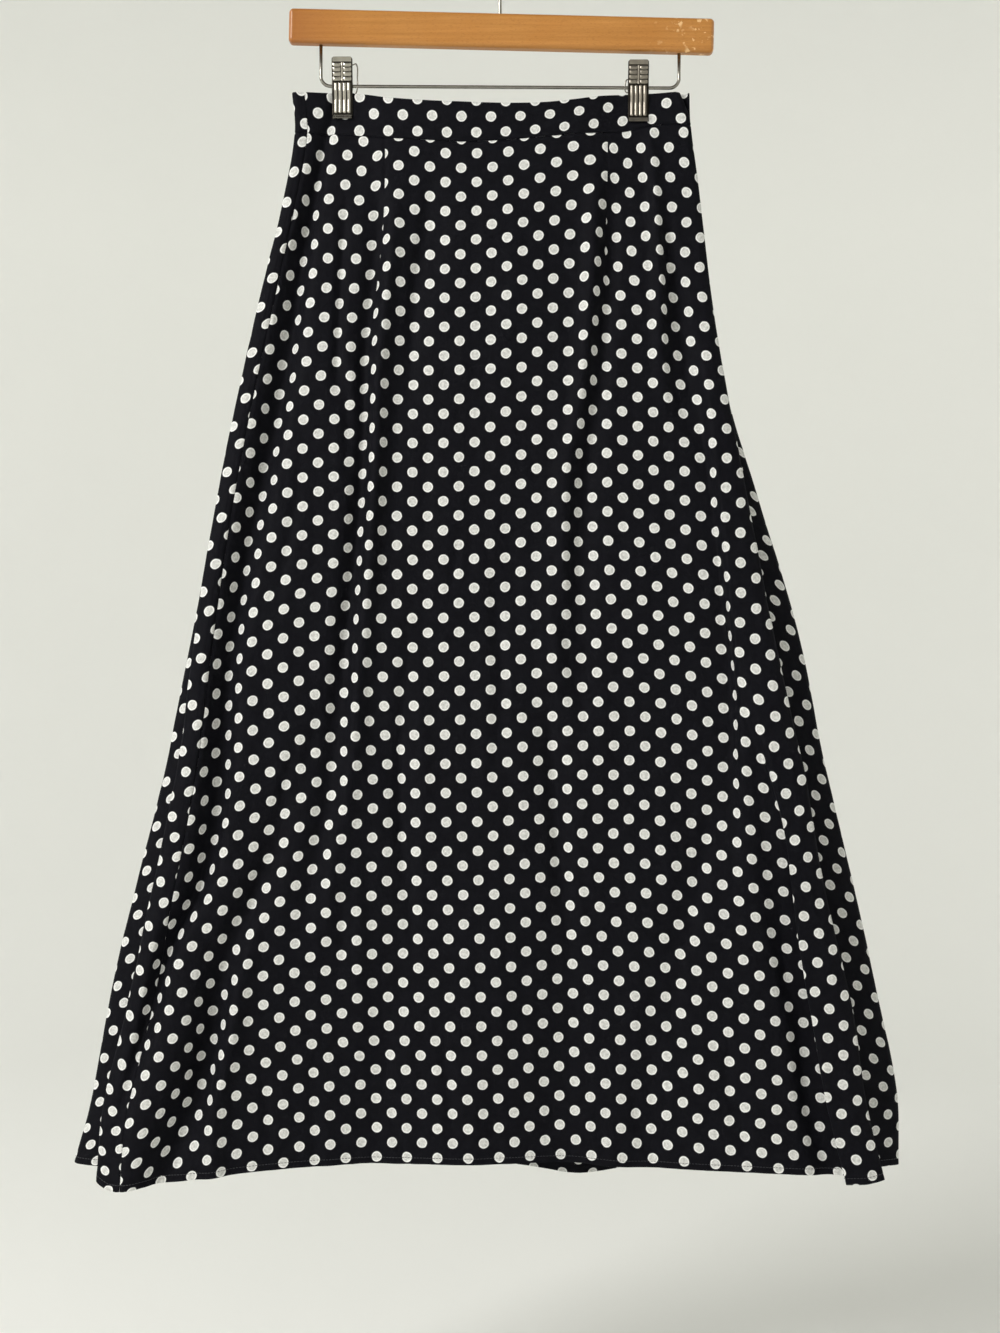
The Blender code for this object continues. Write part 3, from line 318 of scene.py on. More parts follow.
# Shares of the width where the darts' columns lie in the plan of the columns
LEFT_DART = 0.25
RIGHT_DART = 0.777
BACK_DARTS = (0.235, 0.765)
DART_FREE = 0.10                # columns that lie this near a side, as a share, don't follow the darts
# Columns of the cloth along each stretch of the ring: (share of the width at its end, intervals)
FRONT_STRETCHES = ((0.055, 8), (0.16, 24), (LEFT_DART, 18), (RIGHT_DART, 92), (0.92, 28), (0.975, 26),
                   (1.0, 5))
BACK_STRETCHES = ((0.03, 6), (BACK_DARTS[0], 36), (BACK_DARTS[1], 74), (0.97, 36), (1.0, 6))
SIDE_STEPS = 5                  # intervals between two points of a side fold
BACK_LEAD = 2 + 3 * SIDE_STEPS  # columns of the back piece round the right side, before the back itself
SEAM_STEPS = (0.35, 0.9, 1.8, 3.2)      # mm from a seam, where the cloth dips into it
PANEL_ROWS = 168
HEM_STEPS = (8.0, 6.4, 5.2, 4.6, 4.0, 2.8, 1.5, 0.6)    # mm above the hem edge
BAND_ROWS = 9

# The cloth itself
GAP = 0.3                       # mm between two pieces at a seam
PANEL_THICK = 0.5               # mm, one layer of the printed viscose
BAND_THICK = 0.6                # mm, cloth with its interfacing
HEM_TURNED = 11.0               # mm of hem turned up inside
HEM_APART = 1.15                # mm between the outer face and the turned-up one
BAND_APART = 1.45               # mm between the folded band's two outer faces
LENGTH = 838.3                  # mm of cloth from the waist seam to the hem at the centre front
BAND_TALL = 30.6
DOT = 8.3                       # mm across
DOT_ACROSS = 25.4               # mm between dots along a row
DOT_DOWN = 23.86                # mm between rows that line up
FRONT_DOT = (6.2, 10.0)         # a dot's centre: mm from the centre front and below the waist seam
BACK_DOT = (2.0, 4.0)
BAND_DOT = (-7.4, 11.1)         # mm from the centre front and below the band's top
BAND_STRETCH = 0.986            # sewing stretches the band, so its dots stand a little further apart
BAND_TURN = 3.5                 # mm that the band's print rises towards its right end and sinks to its left
BAND_TURN_FROM = 120.0          # mm from the middle where it has risen that far
BAND_TURN_ENDS = (-1.05, 0.95)  # shares of that distance beyond which it turns no more
ROW_DROOP = 8.0                 # mm that the printed rows hang lower at the sides halfway down
ROW_LIFT = 3.8                  # mm that the front's rows are drawn up to the right of the middle
LIFT_MIDDLE = 100.0             # mm from the centre front
LIFT_WIDE = 60.0
LIFT_FROM = 0.12                # level from which they are, and how many levels it takes to come and go
LIFT_OVER = 1.2
# Cloth that each dart takes up
DART_INTAKE = (
    # level, left mm, right mm
    (0.00, 21.5, 20.5),
    (0.03, 20.0, 19.0),
    (0.05, 18.5, 16.5),
    (0.07, 15.5, 12.0),
    (0.10, 11.0, 6.6),
    (0.13, 7.5, 3.8),
    (0.17, 2.5, 0.0),
    (0.21, 0.0, 0.0),
)
DART_LONG = 0.13                # level of its tip
DART_SHARE = (0.05, 0.35)       # share of the left and the right one's turn that the middle takes
DART_FADE = 40.0                # mm from the dart over which the middle's print turns back to straight
SIDE_DROP = (6.0, 3.2)          # mm that the printed rows hang lower outside the left and the right dart
DROP_SOFT = 24.0                # mm across each dart over which they step down
DROP_FROM = 0.10                # level from which the drop fades, and how many levels it takes
DROP_OVER = 0.45
CUT_CURVE = 26.0                # mm that the hem is cut higher at the very side than in the middle
CUT_POWER = 6
CUT_FROM = 0.35                 # level from which that shows in the rows, and how many levels it takes
CUT_OVER = 0.5

# The darts' lines and the cloth's centre, which hangs a little askew
FRONT_DARTS = (
    # level, left share, right share
    (0.00, 0.228, 0.790),
    (0.12, 0.253, 0.769),
    (0.30, 0.256, 0.768),
    (0.60, LEFT_DART, RIGHT_DART),
)
CENTRE_LINE = ((0.0, 0.0), (0.45, -2.0), (0.62, 0.0), (1.0, 6.0))     # level, mm


def in_scene(name, data):
    """New object with the given mesh, light or camera, linked into the scene."""
    made = bpy.data.objects.new(name, data)
    bpy.context.scene.collection.objects.link(made)
    return made


def read(rows, place, column=1):
    """Value of a table's column at a place, on a smooth curve through its rows."""
    if place <= rows[0][0]:
        return rows[0][column]
    if place >= rows[-1][0]:
        return rows[-1][column]
    i = max(k for k in range(len(rows) - 1) if rows[k][0] <= place)
    x0, x1 = rows[i][0], rows[i + 1][0]
    y0, y1 = rows[i][column], rows[i + 1][column]
    slope = (y1 - y0) / (x1 - x0)
    before = slope if i == 0 else (y1 - rows[i - 1][column]) / (x1 - rows[i - 1][0])
    after = slope if i + 2 == len(rows) else (rows[i + 2][column] - y0) / (rows[i + 2][0] - x0)
    s = (place - x0) / (x1 - x0)
    h = x1 - x0
    return ((1 + 2 * s) * (1 - s) ** 2 * y0 + s * (1 - s) ** 2 * h * before
            + s * s * (3 - 2 * s) * y1 + s * s * (s - 1) * h * after)


def smooth(value):
    """Ease from 0 to 1, for a number or an array."""
    value = np.clip(value, 0.0, 1.0)
    return value * value * (3 - 2 * value)


def side(level, column):
    """Place of a layer's side edge at a level, in mm."""
    return read(SIDES, level, ("front_left", "back_left", "front_right", "back_right").index(column) + 1)


def depth(level, column):
    """Value of the depths' table at a level, in mm."""
    names = ("front_middle", "front_left", "front_right", "back_middle", "back_left", "back_right",
             "fold_radius", "left_tuck", "right_tuck")
    return read(DEPTHS, level, names.index(column) + 1)


def wave(away):
    """Ridge and trough side by side, 1 high and 1 deep at 1 and -1."""
    return away * np.exp(0.5 - 0.5 * away ** 2)


def fold_depth(folds, level, shares, width):
    """Sum of all folds along one row of a layer, in mm."""
    total = np.zeros_like(shares)
    for kind, rows in folds.values():
        if level <= rows[0][0] and rows[0][2] == 0.0:
            continue
        away = (shares - read(rows, level, 1)) * width
        size = read(rows, level, 2)
        half = read(rows, level, 3)
        if kind == "hollow":
            total += size * np.exp(-(away / half) ** 2)
        elif kind == "wave":
            total += size * wave(away / half)
        else:
            total += size * smooth(0.5 + away / (2 * half))
    return total


def crease_depth(creases, level, shares, width):
    """Sum of the small creases along one row, each soft at both ends."""
    total = np.zeros_like(shares)
    for top, top_share, bottom, bottom_share, bow, size, half in creases:
        if not top < level < bottom:
            continue
        way = (level - top) / (bottom - top)
        swell = math.sin(math.pi * way)
        middle = top_share + (bottom_share - top_share) * way
        away = (shares - middle) * width - bow * swell
        total += size * swell ** CREASE_ENDS * np.exp(-(away / half) ** 2)
    return total


def from_clip(x):
    """Distance of each x from the middle of the nearer clip, in mm."""
    return np.min([np.abs(x - middle) for middle, _ in CLIPS.values()], axis=0)


def pinch(shares, level, left, right):
    """How firmly the nearer clip holds each point of a row, 0 to 1."""
    near = from_clip(left + shares * (right - left))
    hold = np.exp(-(np.maximum(0.0, near - PINCH_FLAT) / PINCH_WIDTH) ** 2)
    return hold * (1 - smooth(level / PINCH_END))


def layer_row(layer, level, shares):
    """Points of one layer's outer face, in mm. The back's shares are counted from the right."""
    front = layer == "front"
    left, right = side(level, f"{layer}_left"), side(level, f"{layer}_right")
    wide = right - left
    first, last = ("left", "right") if front else ("right", "left")
    middle = depth(level, f"{layer}_middle")
    y = (middle + (depth(level, f"{layer}_{first}") - middle) * (1 - smooth(shares / SIDE_SHARE))
         + (depth(level, f"{layer}_{last}") - middle) * (1 - smooth((1 - shares) / SIDE_SHARE)))
    y = y + fold_depth(FRONT_FOLDS if front else BACK_FOLDS, level, shares, wide)
    y = y + crease_depth(FRONT_CREASES if front else BACK_CREASES, level, shares, wide)
    from_left = shares if front else 1 - shares
    held = pinch(from_left, level, left, right)
    y = y * (1 - held) + (-PINCH_DEPTH if front else PINCH_DEPTH) * held
    y = y + fold_depth(CLIP_FOLDS, level, from_left, wide)
    if not front:
        return np.stack([right - shares * wide, y], axis=1)
    x = left + shares * wide
    for step, lap in (("upper_step", UPPER_LAP), ("lower_step", LAP)):
        if level > lap[0][0]:
            away = (shares - read(FRONT_FOLDS[step][1], level, 1)) * wide / LAP_WIDTH
            x = x - read(lap, level) * wave(away)
    return np.stack([x, y], axis=1)


def spline(points, steps):
    """Centripetal curve through points[1:-1], with steps intervals on each span."""
    points = [np.asarray(p, dtype=float) for p in points]
    out = []
    for p0, p1, p2, p3 in zip(points, points[1:], points[2:], points[3:]):
        knots = [0.0]
        for a, b in ((p0, p1), (p1, p2), (p2, p3)):
            knots.append(knots[-1] + max(1e-4, np.linalg.norm(b - a)) ** 0.5)
        for k in range(steps):
            t = knots[1] + (knots[2] - knots[1]) * k / steps
            rows = [p0, p1, p2, p3]
            for order in (1, 2, 3):
                rows = [((knots[i + order] - t) * a + (t - knots[i]) * b) / (knots[i + order] - knots[i])
                        for i, (a, b) in enumerate(zip(rows, rows[1:]))]
            out.append(rows[0])
    out.append(points[-2])
    return out


def run_shares(first, stretches, last):
    """Shares of the width from first to last, with each stretch's own spacing."""
    shares = [first]
    for end, count in stretches:
        end = min(end, last)
        start = shares[-1]
        shares += [start + (end - start) * (k + 1) / count for k in range(count)]
    return np.array(shares)


def curl(edge, inner, radius, tuck):
    """Point between a folded edge and the tuck, which keeps the edge round once the tuck is deep."""
    deep = float(smooth(tuck / FULL_TUCK))
    way = 1 if inner[1] > edge[1] else -1
    sign = 1 if inner[0] > edge[0] else -1
    down = CURL_DEEP * radius
    share = down / max(down, abs(inner[1] - edge[1]))
    rounded = np.array((edge[0] + sign * CURL_IN * radius, edge[1] + way * down,
                        edge[2] + (inner[2] - edge[2]) * share))
    return 0.5 * (edge + inner) * (1 - deep) + rounded * deep


def dart_shares(level, shares):
    """Shares of a row moved sideways so that one column lies on each dart's line."""
    left = read(FRONT_DARTS, level, 1)
    right = read(FRONT_DARTS, level, 2)
    return np.interp(shares, (0.0, DART_FREE, LEFT_DART, RIGHT_DART, 1 - DART_FREE, 1.0),
                     (0.0, DART_FREE, left, right, 1 - DART_FREE, 1.0))


def ring(level, top, bottom, top_back, bottom_back):
    """Closed ring at one level as (front piece, back piece), each an array of points in mm.

    The front piece runs from the left side seam over the front to the right side seam, and the back
    piece goes on from there round the back and the left edge to the left side seam.
    """
    left, right = side(level, "front_left"), side(level, "front_right")
    back_left, back_right = side(level, "back_left"), side(level, "back_right")
    wide = right - left
    back_wide = back_right - back_left
    radius = depth(level, "fold_radius")
    reach = FOLD_REACH * radius
    low = (level - top[0]) / (bottom[0] - top[0])

    def height(share, upper, lower):
        return read(upper, share) * (1 - low) + read(lower, share) * low

    def front(shares):
        shares = np.atleast_1d(shares)
        heights = [height(share, top[1], bottom[1]) for share in shares]
        return np.column_stack([layer_row("front", level, shares), heights])

    def back(shares):
        heights = [height(share, top_back, bottom_back) for share in shares]
        return np.column_stack([layer_row("back", level, shares), heights])

    flat = SEAM_STEPS[-1]
    seam = front(LEFT_SEAM)[0]
    along = front(LEFT_SEAM + flat / wide)[0] - front(LEFT_SEAM - flat / wide)[0]
    along /= np.linalg.norm(along)
    near = np.array((GAP / 2, *SEAM_STEPS))[:, None]
    seam_front = seam + along * near
    seam_back = (seam - along * near)[::-1]

    front_shares = run_shares(LEFT_SEAM + flat / wide, FRONT_STRETCHES, 1 - reach / wide)[1:]
    front_shares = dart_shares(level, front_shares)
    back_shares = run_shares(reach / back_wide, BACK_STRETCHES, 1 - reach / back_wide)
    front_run = np.vstack([seam_front, front(front_shares)])
    back_run = back(back_shares)
    draw = EDGE_DRAW * (1 - float(smooth(level / OPEN_LEVEL)))

    # Right side: round the front edge, into the tuck where the seam lies, and round the back edge.
    edge = np.array((right - draw, front_run[-1][1] + radius, height(1.0, top[1], bottom[1])))
    back_edge = np.array((back_right - draw, back_run[0][1] - radius, height(0.0, top_back, bottom_back)))
    middle = 0.5 * (edge + back_edge)
    middle[0] = right - depth(level, "right_tuck")
    deep = right - middle[0]
    before, near_front, seam_front_end, seam_back_end, near_back, after = [
        middle + (0.0, y, 0.0)
        for y in (-SIDE_SEAM, -SIDE_SEAM / 2, -GAP / 2, GAP / 2, SIDE_SEAM / 2, SIDE_SEAM)]
    front_side = spline([front_run[-2], front_run[-1], edge, curl(edge, before, radius, deep), before, after],
                        SIDE_STEPS)
    back_side = spline([before, after, curl(back_edge, after, radius, deep), back_edge, back_run[0],
                        back_run[1]], SIDE_STEPS)
    front_piece = np.vstack([front_run, front_side[1:], near_front, seam_front_end])

    # Left side: round the back edge, in between the layers, and round the front edge to the seam.
    left_back_edge = np.array((back_left + draw, back_run[-1][1] - radius,
                               height(1.0, top_back, bottom_back)))
    share_in = reach / wide
    start = front(share_in)[0]
    left_edge = np.array((left + draw, start[1] + radius, height(0.0, top[1], bottom[1])))
    left_tuck = depth(level, "left_tuck")
    inner = 0.5 * (left_back_edge + left_edge)
    inner[0] = left + left_tuck
    between = front(share_in + (LEFT_SEAM - flat / wide - share_in) * np.array((0.33, 0.67)))
    left_side = spline([back_run[-2], back_run[-1], left_back_edge,
                        curl(left_back_edge, inner, radius, left_tuck), inner,
                        curl(left_edge, inner, radius, left_tuck), left_edge, start, between[0]], SIDE_STEPS)
    back_piece = np.vstack([seam_back_end, near_back, back_side, back_run[1:], left_side[1:], between,
                            seam_back])
    return front_piece, back_piece


def outward(grid):
    """Unit normals of a grid of points whose rows go down and whose columns go round to the right."""
    normal = np.cross(np.gradient(grid, axis=0), np.gradient(grid, axis=1))
    return normal / np.maximum(1e-9, np.linalg.norm(normal, axis=2, keepdims=True))


def row_lengths(grid):
    """Distance of each point from its row's first one, measured along the row, in mm."""
    steps = np.linalg.norm(np.diff(grid, axis=1), axis=2)
    return np.concatenate([np.zeros((len(grid), 1)), np.cumsum(steps, axis=1)], axis=1)


def along_rows(grid, centre_x):
    """Distance of each point from the cloth's centre line, measured along its row, in mm."""
    run = row_lengths(grid)
    first, last = grid.shape[1] // 4, 3 * grid.shape[1] // 4
    for row, points, centre in zip(run, grid, centre_x):
        x = points[first:last, 0]
        order = np.argsort(x)
        row -= np.interp(centre, x[order], row[first:last][order])
    return run


def wrinkles(table, across, down, seed):
    """Depth of a table's wrinkles at each point of flat cloth, in mm."""
    out = np.zeros_like(across)
    for place in np.ndindex(*across.shape):
        for height, wide, long, more in table:
            spot = Vector((across[place] / wide, down[place] / long, seed + more))
            out[place] += height * noise.noise(spot)
    return out


def turn_under(grid, normals, across, down, apart, inner_rows, sign):
    """A sheet carried round its last row and back up inside, with each point's place on the flat cloth.

    down goes on growing round the edge where sign is 1, and shrinking where it is -1.
    """
    edge = grid[-1]
    way = edge - grid[-2]
    way /= np.linalg.norm(way, axis=1, keepdims=True)
    inward = -normals[-1]
    radius = apart / 2
    rows = []
    far = []
    for k in range(1, TURN_STEPS + 1):
        angle = math.pi * k / TURN_STEPS
        rows.append(edge + way * radius * math.sin(angle) + inward * radius * (1 - math.cos(angle)))
        far.append(radius * angle)
    for k in inner_rows:
        rows.append(grid[-1 - k] - normals[-1 - k] * apart)
        far.append(radius * math.pi + float(np.linalg.norm(grid[-1 - k] - edge, axis=1).mean()))
    return (np.concatenate([grid, rows]), np.concatenate([across, np.repeat(across[-1:], len(rows), axis=0)]),
            np.concatenate([down, down[-1:] + sign * np.array(far)[:, None]]))


def grid_corners(rows, columns, flip):
    """Corners of each face of a grid, as pairs of a row and a column; flip turns the faces over."""
    j, i = np.meshgrid(np.arange(rows - 1), np.arange(columns - 1), indexing="ij")
    corners = ((j, i), (j + 1, i), (j + 1, i + 1), (j, i + 1))
    return corners[::-1] if flip else corners


def grid_faces(corners, columns):
    """Faces from their corners, as lists of the numbers of a grid's points."""
    return np.stack([j * columns + i for j, i in corners], axis=-1).reshape(-1, 4).tolist()


def cloth_object(name, grid, across, down, shift, thick, looks, flip=False):
    """Thin cloth on a grid of points in mm, with a UV map in metres of flat cloth.

    shift moves the print sideways for each face, as (rows, faces across), for the darts' intakes.
    looks are the materials of its outer face and of its reverse.
    """
    rows, columns = grid.shape[:2]
    corners = grid_corners(rows, columns, flip)
    face_column = np.arange(columns - 1)
    u = np.stack([across[j, i] + shift[j, face_column] for j, i in corners], axis=-1)
    v = np.stack([down[j, i] for j, i in corners], axis=-1)
    mesh = bpy.data.meshes.new(name)
    mesh.from_pydata((grid.reshape(-1, 3) * MM).tolist(), [], grid_faces(corners, columns))
    layer = mesh.uv_layers.new(name="cloth")
    layer.data.foreach_set("uv", (np.stack([u, v], axis=-1).reshape(-1) * MM).astype(np.float32))
    mesh.shade_smooth()
    for look in looks:
        mesh.materials.append(look)
    piece = in_scene(name, mesh)
    wall = piece.modifiers.new("thickness", "SOLIDIFY")
    wall.thickness = thick * MM
    wall.offset = -1
    wall.use_rim = True
    wall.material_offset = len(looks) - 1
    return piece


def seam_dip(distance):
    """How far cloth sinks into a seam at a distance from it, in mm."""
    return SEAM_DEEP * np.exp(-(distance / SEAM_SOFT) ** 2)


def moved(heights, by):
    """Table of heights with each one moved up by some mm."""
    return tuple((share, z + by) for share, z in heights)


def seam_rise(points):
    """How much higher than straight along the cloth the front's waist seam lies at each point, in mm."""
    return np.interp(points[:, 0], *zip(*SEAM_RISE))


def dart_columns(stretches, darts, lead):
    """Columns on which the stretches that end at the darts' shares end, after lead columns."""
    return [lead + sum(count for stop, count in stretches if stop <= dart) for dart in darts]


def panel_levels():
    """Levels of a panel's rows, closer together at the waist seam and at the hem."""
    near = [step / LENGTH for step in SEAM_STEPS]
    far = [1 - step / LENGTH for step in (HEM_TURNED, *HEM_STEPS)]
    first, last = near[-1], far[0]
    body = [first + (last - first) * k / PANEL_ROWS for k in range(1, PANEL_ROWS)]
    return [0.0, *near, *body, *far, HEM_LEVEL]


def make_panels(looks):
    """Front and back of the skirt: one sheet each, with the hem turned up inside.

    Each comes as its piece, the line of its hem's stitches and its cut width at each level, in mm.
    """
    seam = moved(WAIST_SEAM, -GAP / 2)
    seam_back = moved(WAIST_SEAM_BACK, -GAP / 2)
    levels = panel_levels()
    rings = [ring(level, (0.0, seam), (HEM_LEVEL, HEM), seam_back, HEM_BACK) for level in levels]
    levels = np.array(levels)
    centre = np.array([read(CENTRE_LINE, level) for level in levels])
    plans = (
        # name, rings' half, dot, columns of the two darts, seed
        ("skirt_front", 0, FRONT_DOT,
         dart_columns(FRONT_STRETCHES, (LEFT_DART, RIGHT_DART), len(SEAM_STEPS)), 3.0),
        ("skirt_back", 1, BACK_DOT, dart_columns(BACK_STRETCHES, BACK_DARTS, BACK_LEAD), 11.0),
    )
    made = {}
    for name, half, dot, darts, seed in plans:
        grid = np.stack([pair[half] for pair in rings])
        across = along_rows(grid, centre)
        reach = np.abs(across) / np.abs(across).max(axis=1, keepdims=True)
        down = levels[:, None] * LENGTH - ROW_DROOP * reach ** 2 * np.sin(math.pi * levels)[:, None]
        down = down - CUT_CURVE * reach ** CUT_POWER * smooth((levels - CUT_FROM) / CUT_OVER)[:, None]
        if half == 0:
            lift = ROW_LIFT * np.sin(math.pi * np.clip((levels - LIFT_FROM) / LIFT_OVER, 0, 1)) ** 2
            down = down + lift[:, None] * np.exp(-((across - LIFT_MIDDLE) / LIFT_WIDE) ** 2)
            down = down - seam_rise(grid[0]) * (1 - levels)[:, None]
        taken = np.array([[read(DART_INTAKE, level, column) for column in (1, 2)] for level in levels])
        normals = outward(grid)
        from_hem = (1 - levels[:, None]) * LENGTH + 0 * across
        first = row_lengths(grid)
        last = first[:, -1:] - first
        intake = np.clip(1 - levels / DART_LONG, 0, 1)
        held = 1 - smooth(levels[:, None] / PINCH_END)
        sink = wrinkles(PANEL_WRINKLES, across, down, seed) * (1 - PULLED_FLAT * held)
        sink *= smooth(first / SETTLE) * smooth(last / SETTLE)
        sink += wrinkles(HEM_WRINKLES, across, down, seed) * np.exp(-(from_hem / HEM_SOFT) ** 2)
        sink += seam_dip(levels[:, None] * LENGTH) + seam_dip(first) + seam_dip(last)
        sink += STITCH_DEEP * np.exp(-((from_hem - HEM_STITCH) / STITCH_SOFT) ** 2)
        for column in darts:
            away = np.abs(across - across[:, column:column + 1])
            sink += DART_DEEP * np.exp(-(away / DART_SOFT) ** 2) * np.sqrt(intake)[:, None]
        grid = grid - normals * sink[..., None]
        normals = outward(grid)
        whole, across, down = turn_under(grid, normals, across, down, HEM_APART,
                                         range(1, len(HEM_STEPS) + 2), 1)
        turned_rows = len(whole) - len(grid)
        shift = np.zeros((len(whole), grid.shape[1] - 1))
        shift[:len(grid), :darts[0]] = -taken[:, :1]
        shift[:len(grid), darts[1]:] = taken[:, 1:]
        taken_all = np.concatenate([taken, np.zeros((turned_rows, 2))])
        turned = np.zeros_like(across)
        for k, way in enumerate((1, -1)):
            from_dart = way * (across[:, darts[k]:darts[k] + 1] - across)
            turned += way * DART_SHARE[k] * np.exp(-np.abs(from_dart) / DART_FADE) * taken_all[:, k:k + 1]
            outside_dart = smooth(from_dart / DROP_SOFT + 0.5)
            drop = SIDE_DROP[k] * (1 - smooth((levels - DROP_FROM) / DROP_OVER))
            drop = np.concatenate([drop, np.zeros(turned_rows)])
            down = down - drop[:, None] * outside_dart
        across = across + turned
        piece = cloth_object(f"{name}_cloth", whole, across - dot[0], down - dot[1], shift, PANEL_THICK,
                             looks)
        stitch_row = int(np.argmin(np.abs(from_hem[:, 0] - HEM_STITCH)))
        path = (grid[stitch_row] + normals[stitch_row] * STITCH_PROUD)[2:-2]
        cut = (across[:len(grid)].max(axis=1) - across[:len(grid)].min(axis=1)) + taken.sum(axis=1)
        made[name] = (piece, path, cut)
    return made


def make_band(looks):
    """Front and back of the waistband: a strip folded along its top edge, parted at the side seams."""
    seam = moved(WAIST_SEAM, GAP / 2)
    seam_back = moved(WAIST_SEAM_BACK, GAP / 2)
    span = -BAND_LEVEL
    near = [-step / BAND_TALL * span for step in SEAM_STEPS]
    body = [BAND_LEVEL + (near[-1] - BAND_LEVEL) * k / BAND_ROWS for k in range(BAND_ROWS)]
    levels = [*body, *near[::-1], 0.0]
    rings = [ring(level, (BAND_LEVEL, BAND_TOP), (0.0, seam), BAND_TOP_BACK, seam_back) for level in levels]
    levels = np.array(levels)
    made = {}
    end = side(BAND_LEVEL, "front_right")
    dot = BAND_DOT
    for name, half, seed in (("waistband_front", 0, 31.0), ("waistband_back", 1, 41.0)):
        grid = np.stack([pair[half] for pair in rings])
        if half == 0:
            draw = BAND_END_DRAW * (-levels / span) ** BAND_END_CURVE
            grid[:, :, 0] -= draw[:, None] * smooth(1 - (end - grid[:, :, 0]) / BAND_END_RUN)
        across = along_rows(grid, np.zeros(len(levels)))
        down = (levels[:, None] - BAND_LEVEL) / span * BAND_TALL + 0 * across
        normals = outward(grid)
        first = row_lengths(grid)
        last = first[:, -1:] - first
        sink = seam_dip(BAND_TALL - down) + BAND_SEAM * (seam_dip(first) + seam_dip(last))
        loose = smooth((from_clip(grid[..., 0]) - PINCH_FLAT) / PINCH_WIDTH)
        sink += wrinkles(BAND_WRINKLES, across, down, seed) * loose
        grid = (grid - normals * sink[..., None])[::-1]
        normals = outward(grid[::-1])[::-1]
        whole, across, down = turn_under(grid, normals, across[::-1], down[::-1], BAND_APART,
                                         range(1, len(levels) - len(SEAM_STEPS)), -1)
        if half == 0:
            down = down * (1 - seam_rise(grid[0]) / BAND_TALL)
            down = down + BAND_TURN * np.clip(across / BAND_TURN_FROM, *BAND_TURN_ENDS) ** 3
        shift = np.zeros((len(whole), whole.shape[1] - 1))
        piece = cloth_object(f"{name}_cloth", whole, across, down, shift, BAND_THICK, looks, flip=True)
        if half == 0:
            left_end = float(across[:, 0].mean()) - dot[0]
        else:
            # The print runs on across the left side seam.
            dot = (float(across[:, -1].mean()) - left_end, BAND_DOT[1])
        # The band is cut along the cloth, so its print is turned by a right angle.
        layer = piece.data.uv_layers["cloth"].data
        flat = np.empty(len(layer) * 2, dtype=np.float32)
        layer.foreach_get("uv", flat)
        flat = flat.reshape(-1, 2)
        turned = np.stack([flat[:, 1] - dot[1] * MM, (flat[:, 0] - dot[0] * MM) * BAND_STRETCH], axis=1)
        layer.foreach_set("uv", turned.reshape(-1).astype(np.float32))
        made[name] = piece
    return made


def linear(hexa):
    """Linear colour of an sRGB hex value."""
    parts = [int(hexa[k:k + 2], 16) / 255 for k in (1, 3, 5)]
    return (*[c / 12.92 if c <= 0.04045 else ((c + 0.055) / 1.055) ** 2.4 for c in parts], 1.0)


def plug(tree, node, inputs):
    """Set a node's inputs to values, or link them to another node, which gives its first output in use."""
    for name, value in inputs.items():
        if isinstance(value, bpy.types.Node):
            value = next(socket for socket in value.outputs if socket.enabled)
        if isinstance(value, bpy.types.NodeSocket):
            tree.links.new(value, node.inputs[name])
        else:
            node.inputs[name].default_value = value


def add(tree, kind, inputs=None, **settings):
    """A new node with its settings, its inputs set or linked."""
    made = tree.nodes.new(kind)
    for name, value in settings.items():
        setattr(made, name, value)
    plug(tree, made, inputs or {})
    return made


def finish_named(name, inputs):
    """New material, its node tree and its Principled shader with the given inputs set."""
    material = bpy.data.materials.new(name)
    material.use_nodes = True
    tree = material.node_tree
    shader = tree.nodes["Principled BSDF"]
    plug(tree, shader, inputs)
    return material, tree, shader


PRINT_WANDER = 0.5              # mm within which the print's edges wander, as ink does on a loose weave
PRINT_SOFT = 0.25               # mm inside and outside a dot's edge over which it fades
DOT_RIM = (1.3, 0.5)            # mm inside the edge from which the dot's rim is evener, and where it is
RIM_EVEN = 0.8
MOTTLE = 2.2                    # mm between the mottles of the white ink
CLOUD = 9.0                     # mm between those of the black
SLUBS = 2 * math.pi * 0.9       # mm between thicker threads; the others are too fine to draw
BANDS = 2 * math.pi / 20        # length of one band of a wave texture at scale 1
CRUMPLE = 7.0                   # mm between the finest crumples


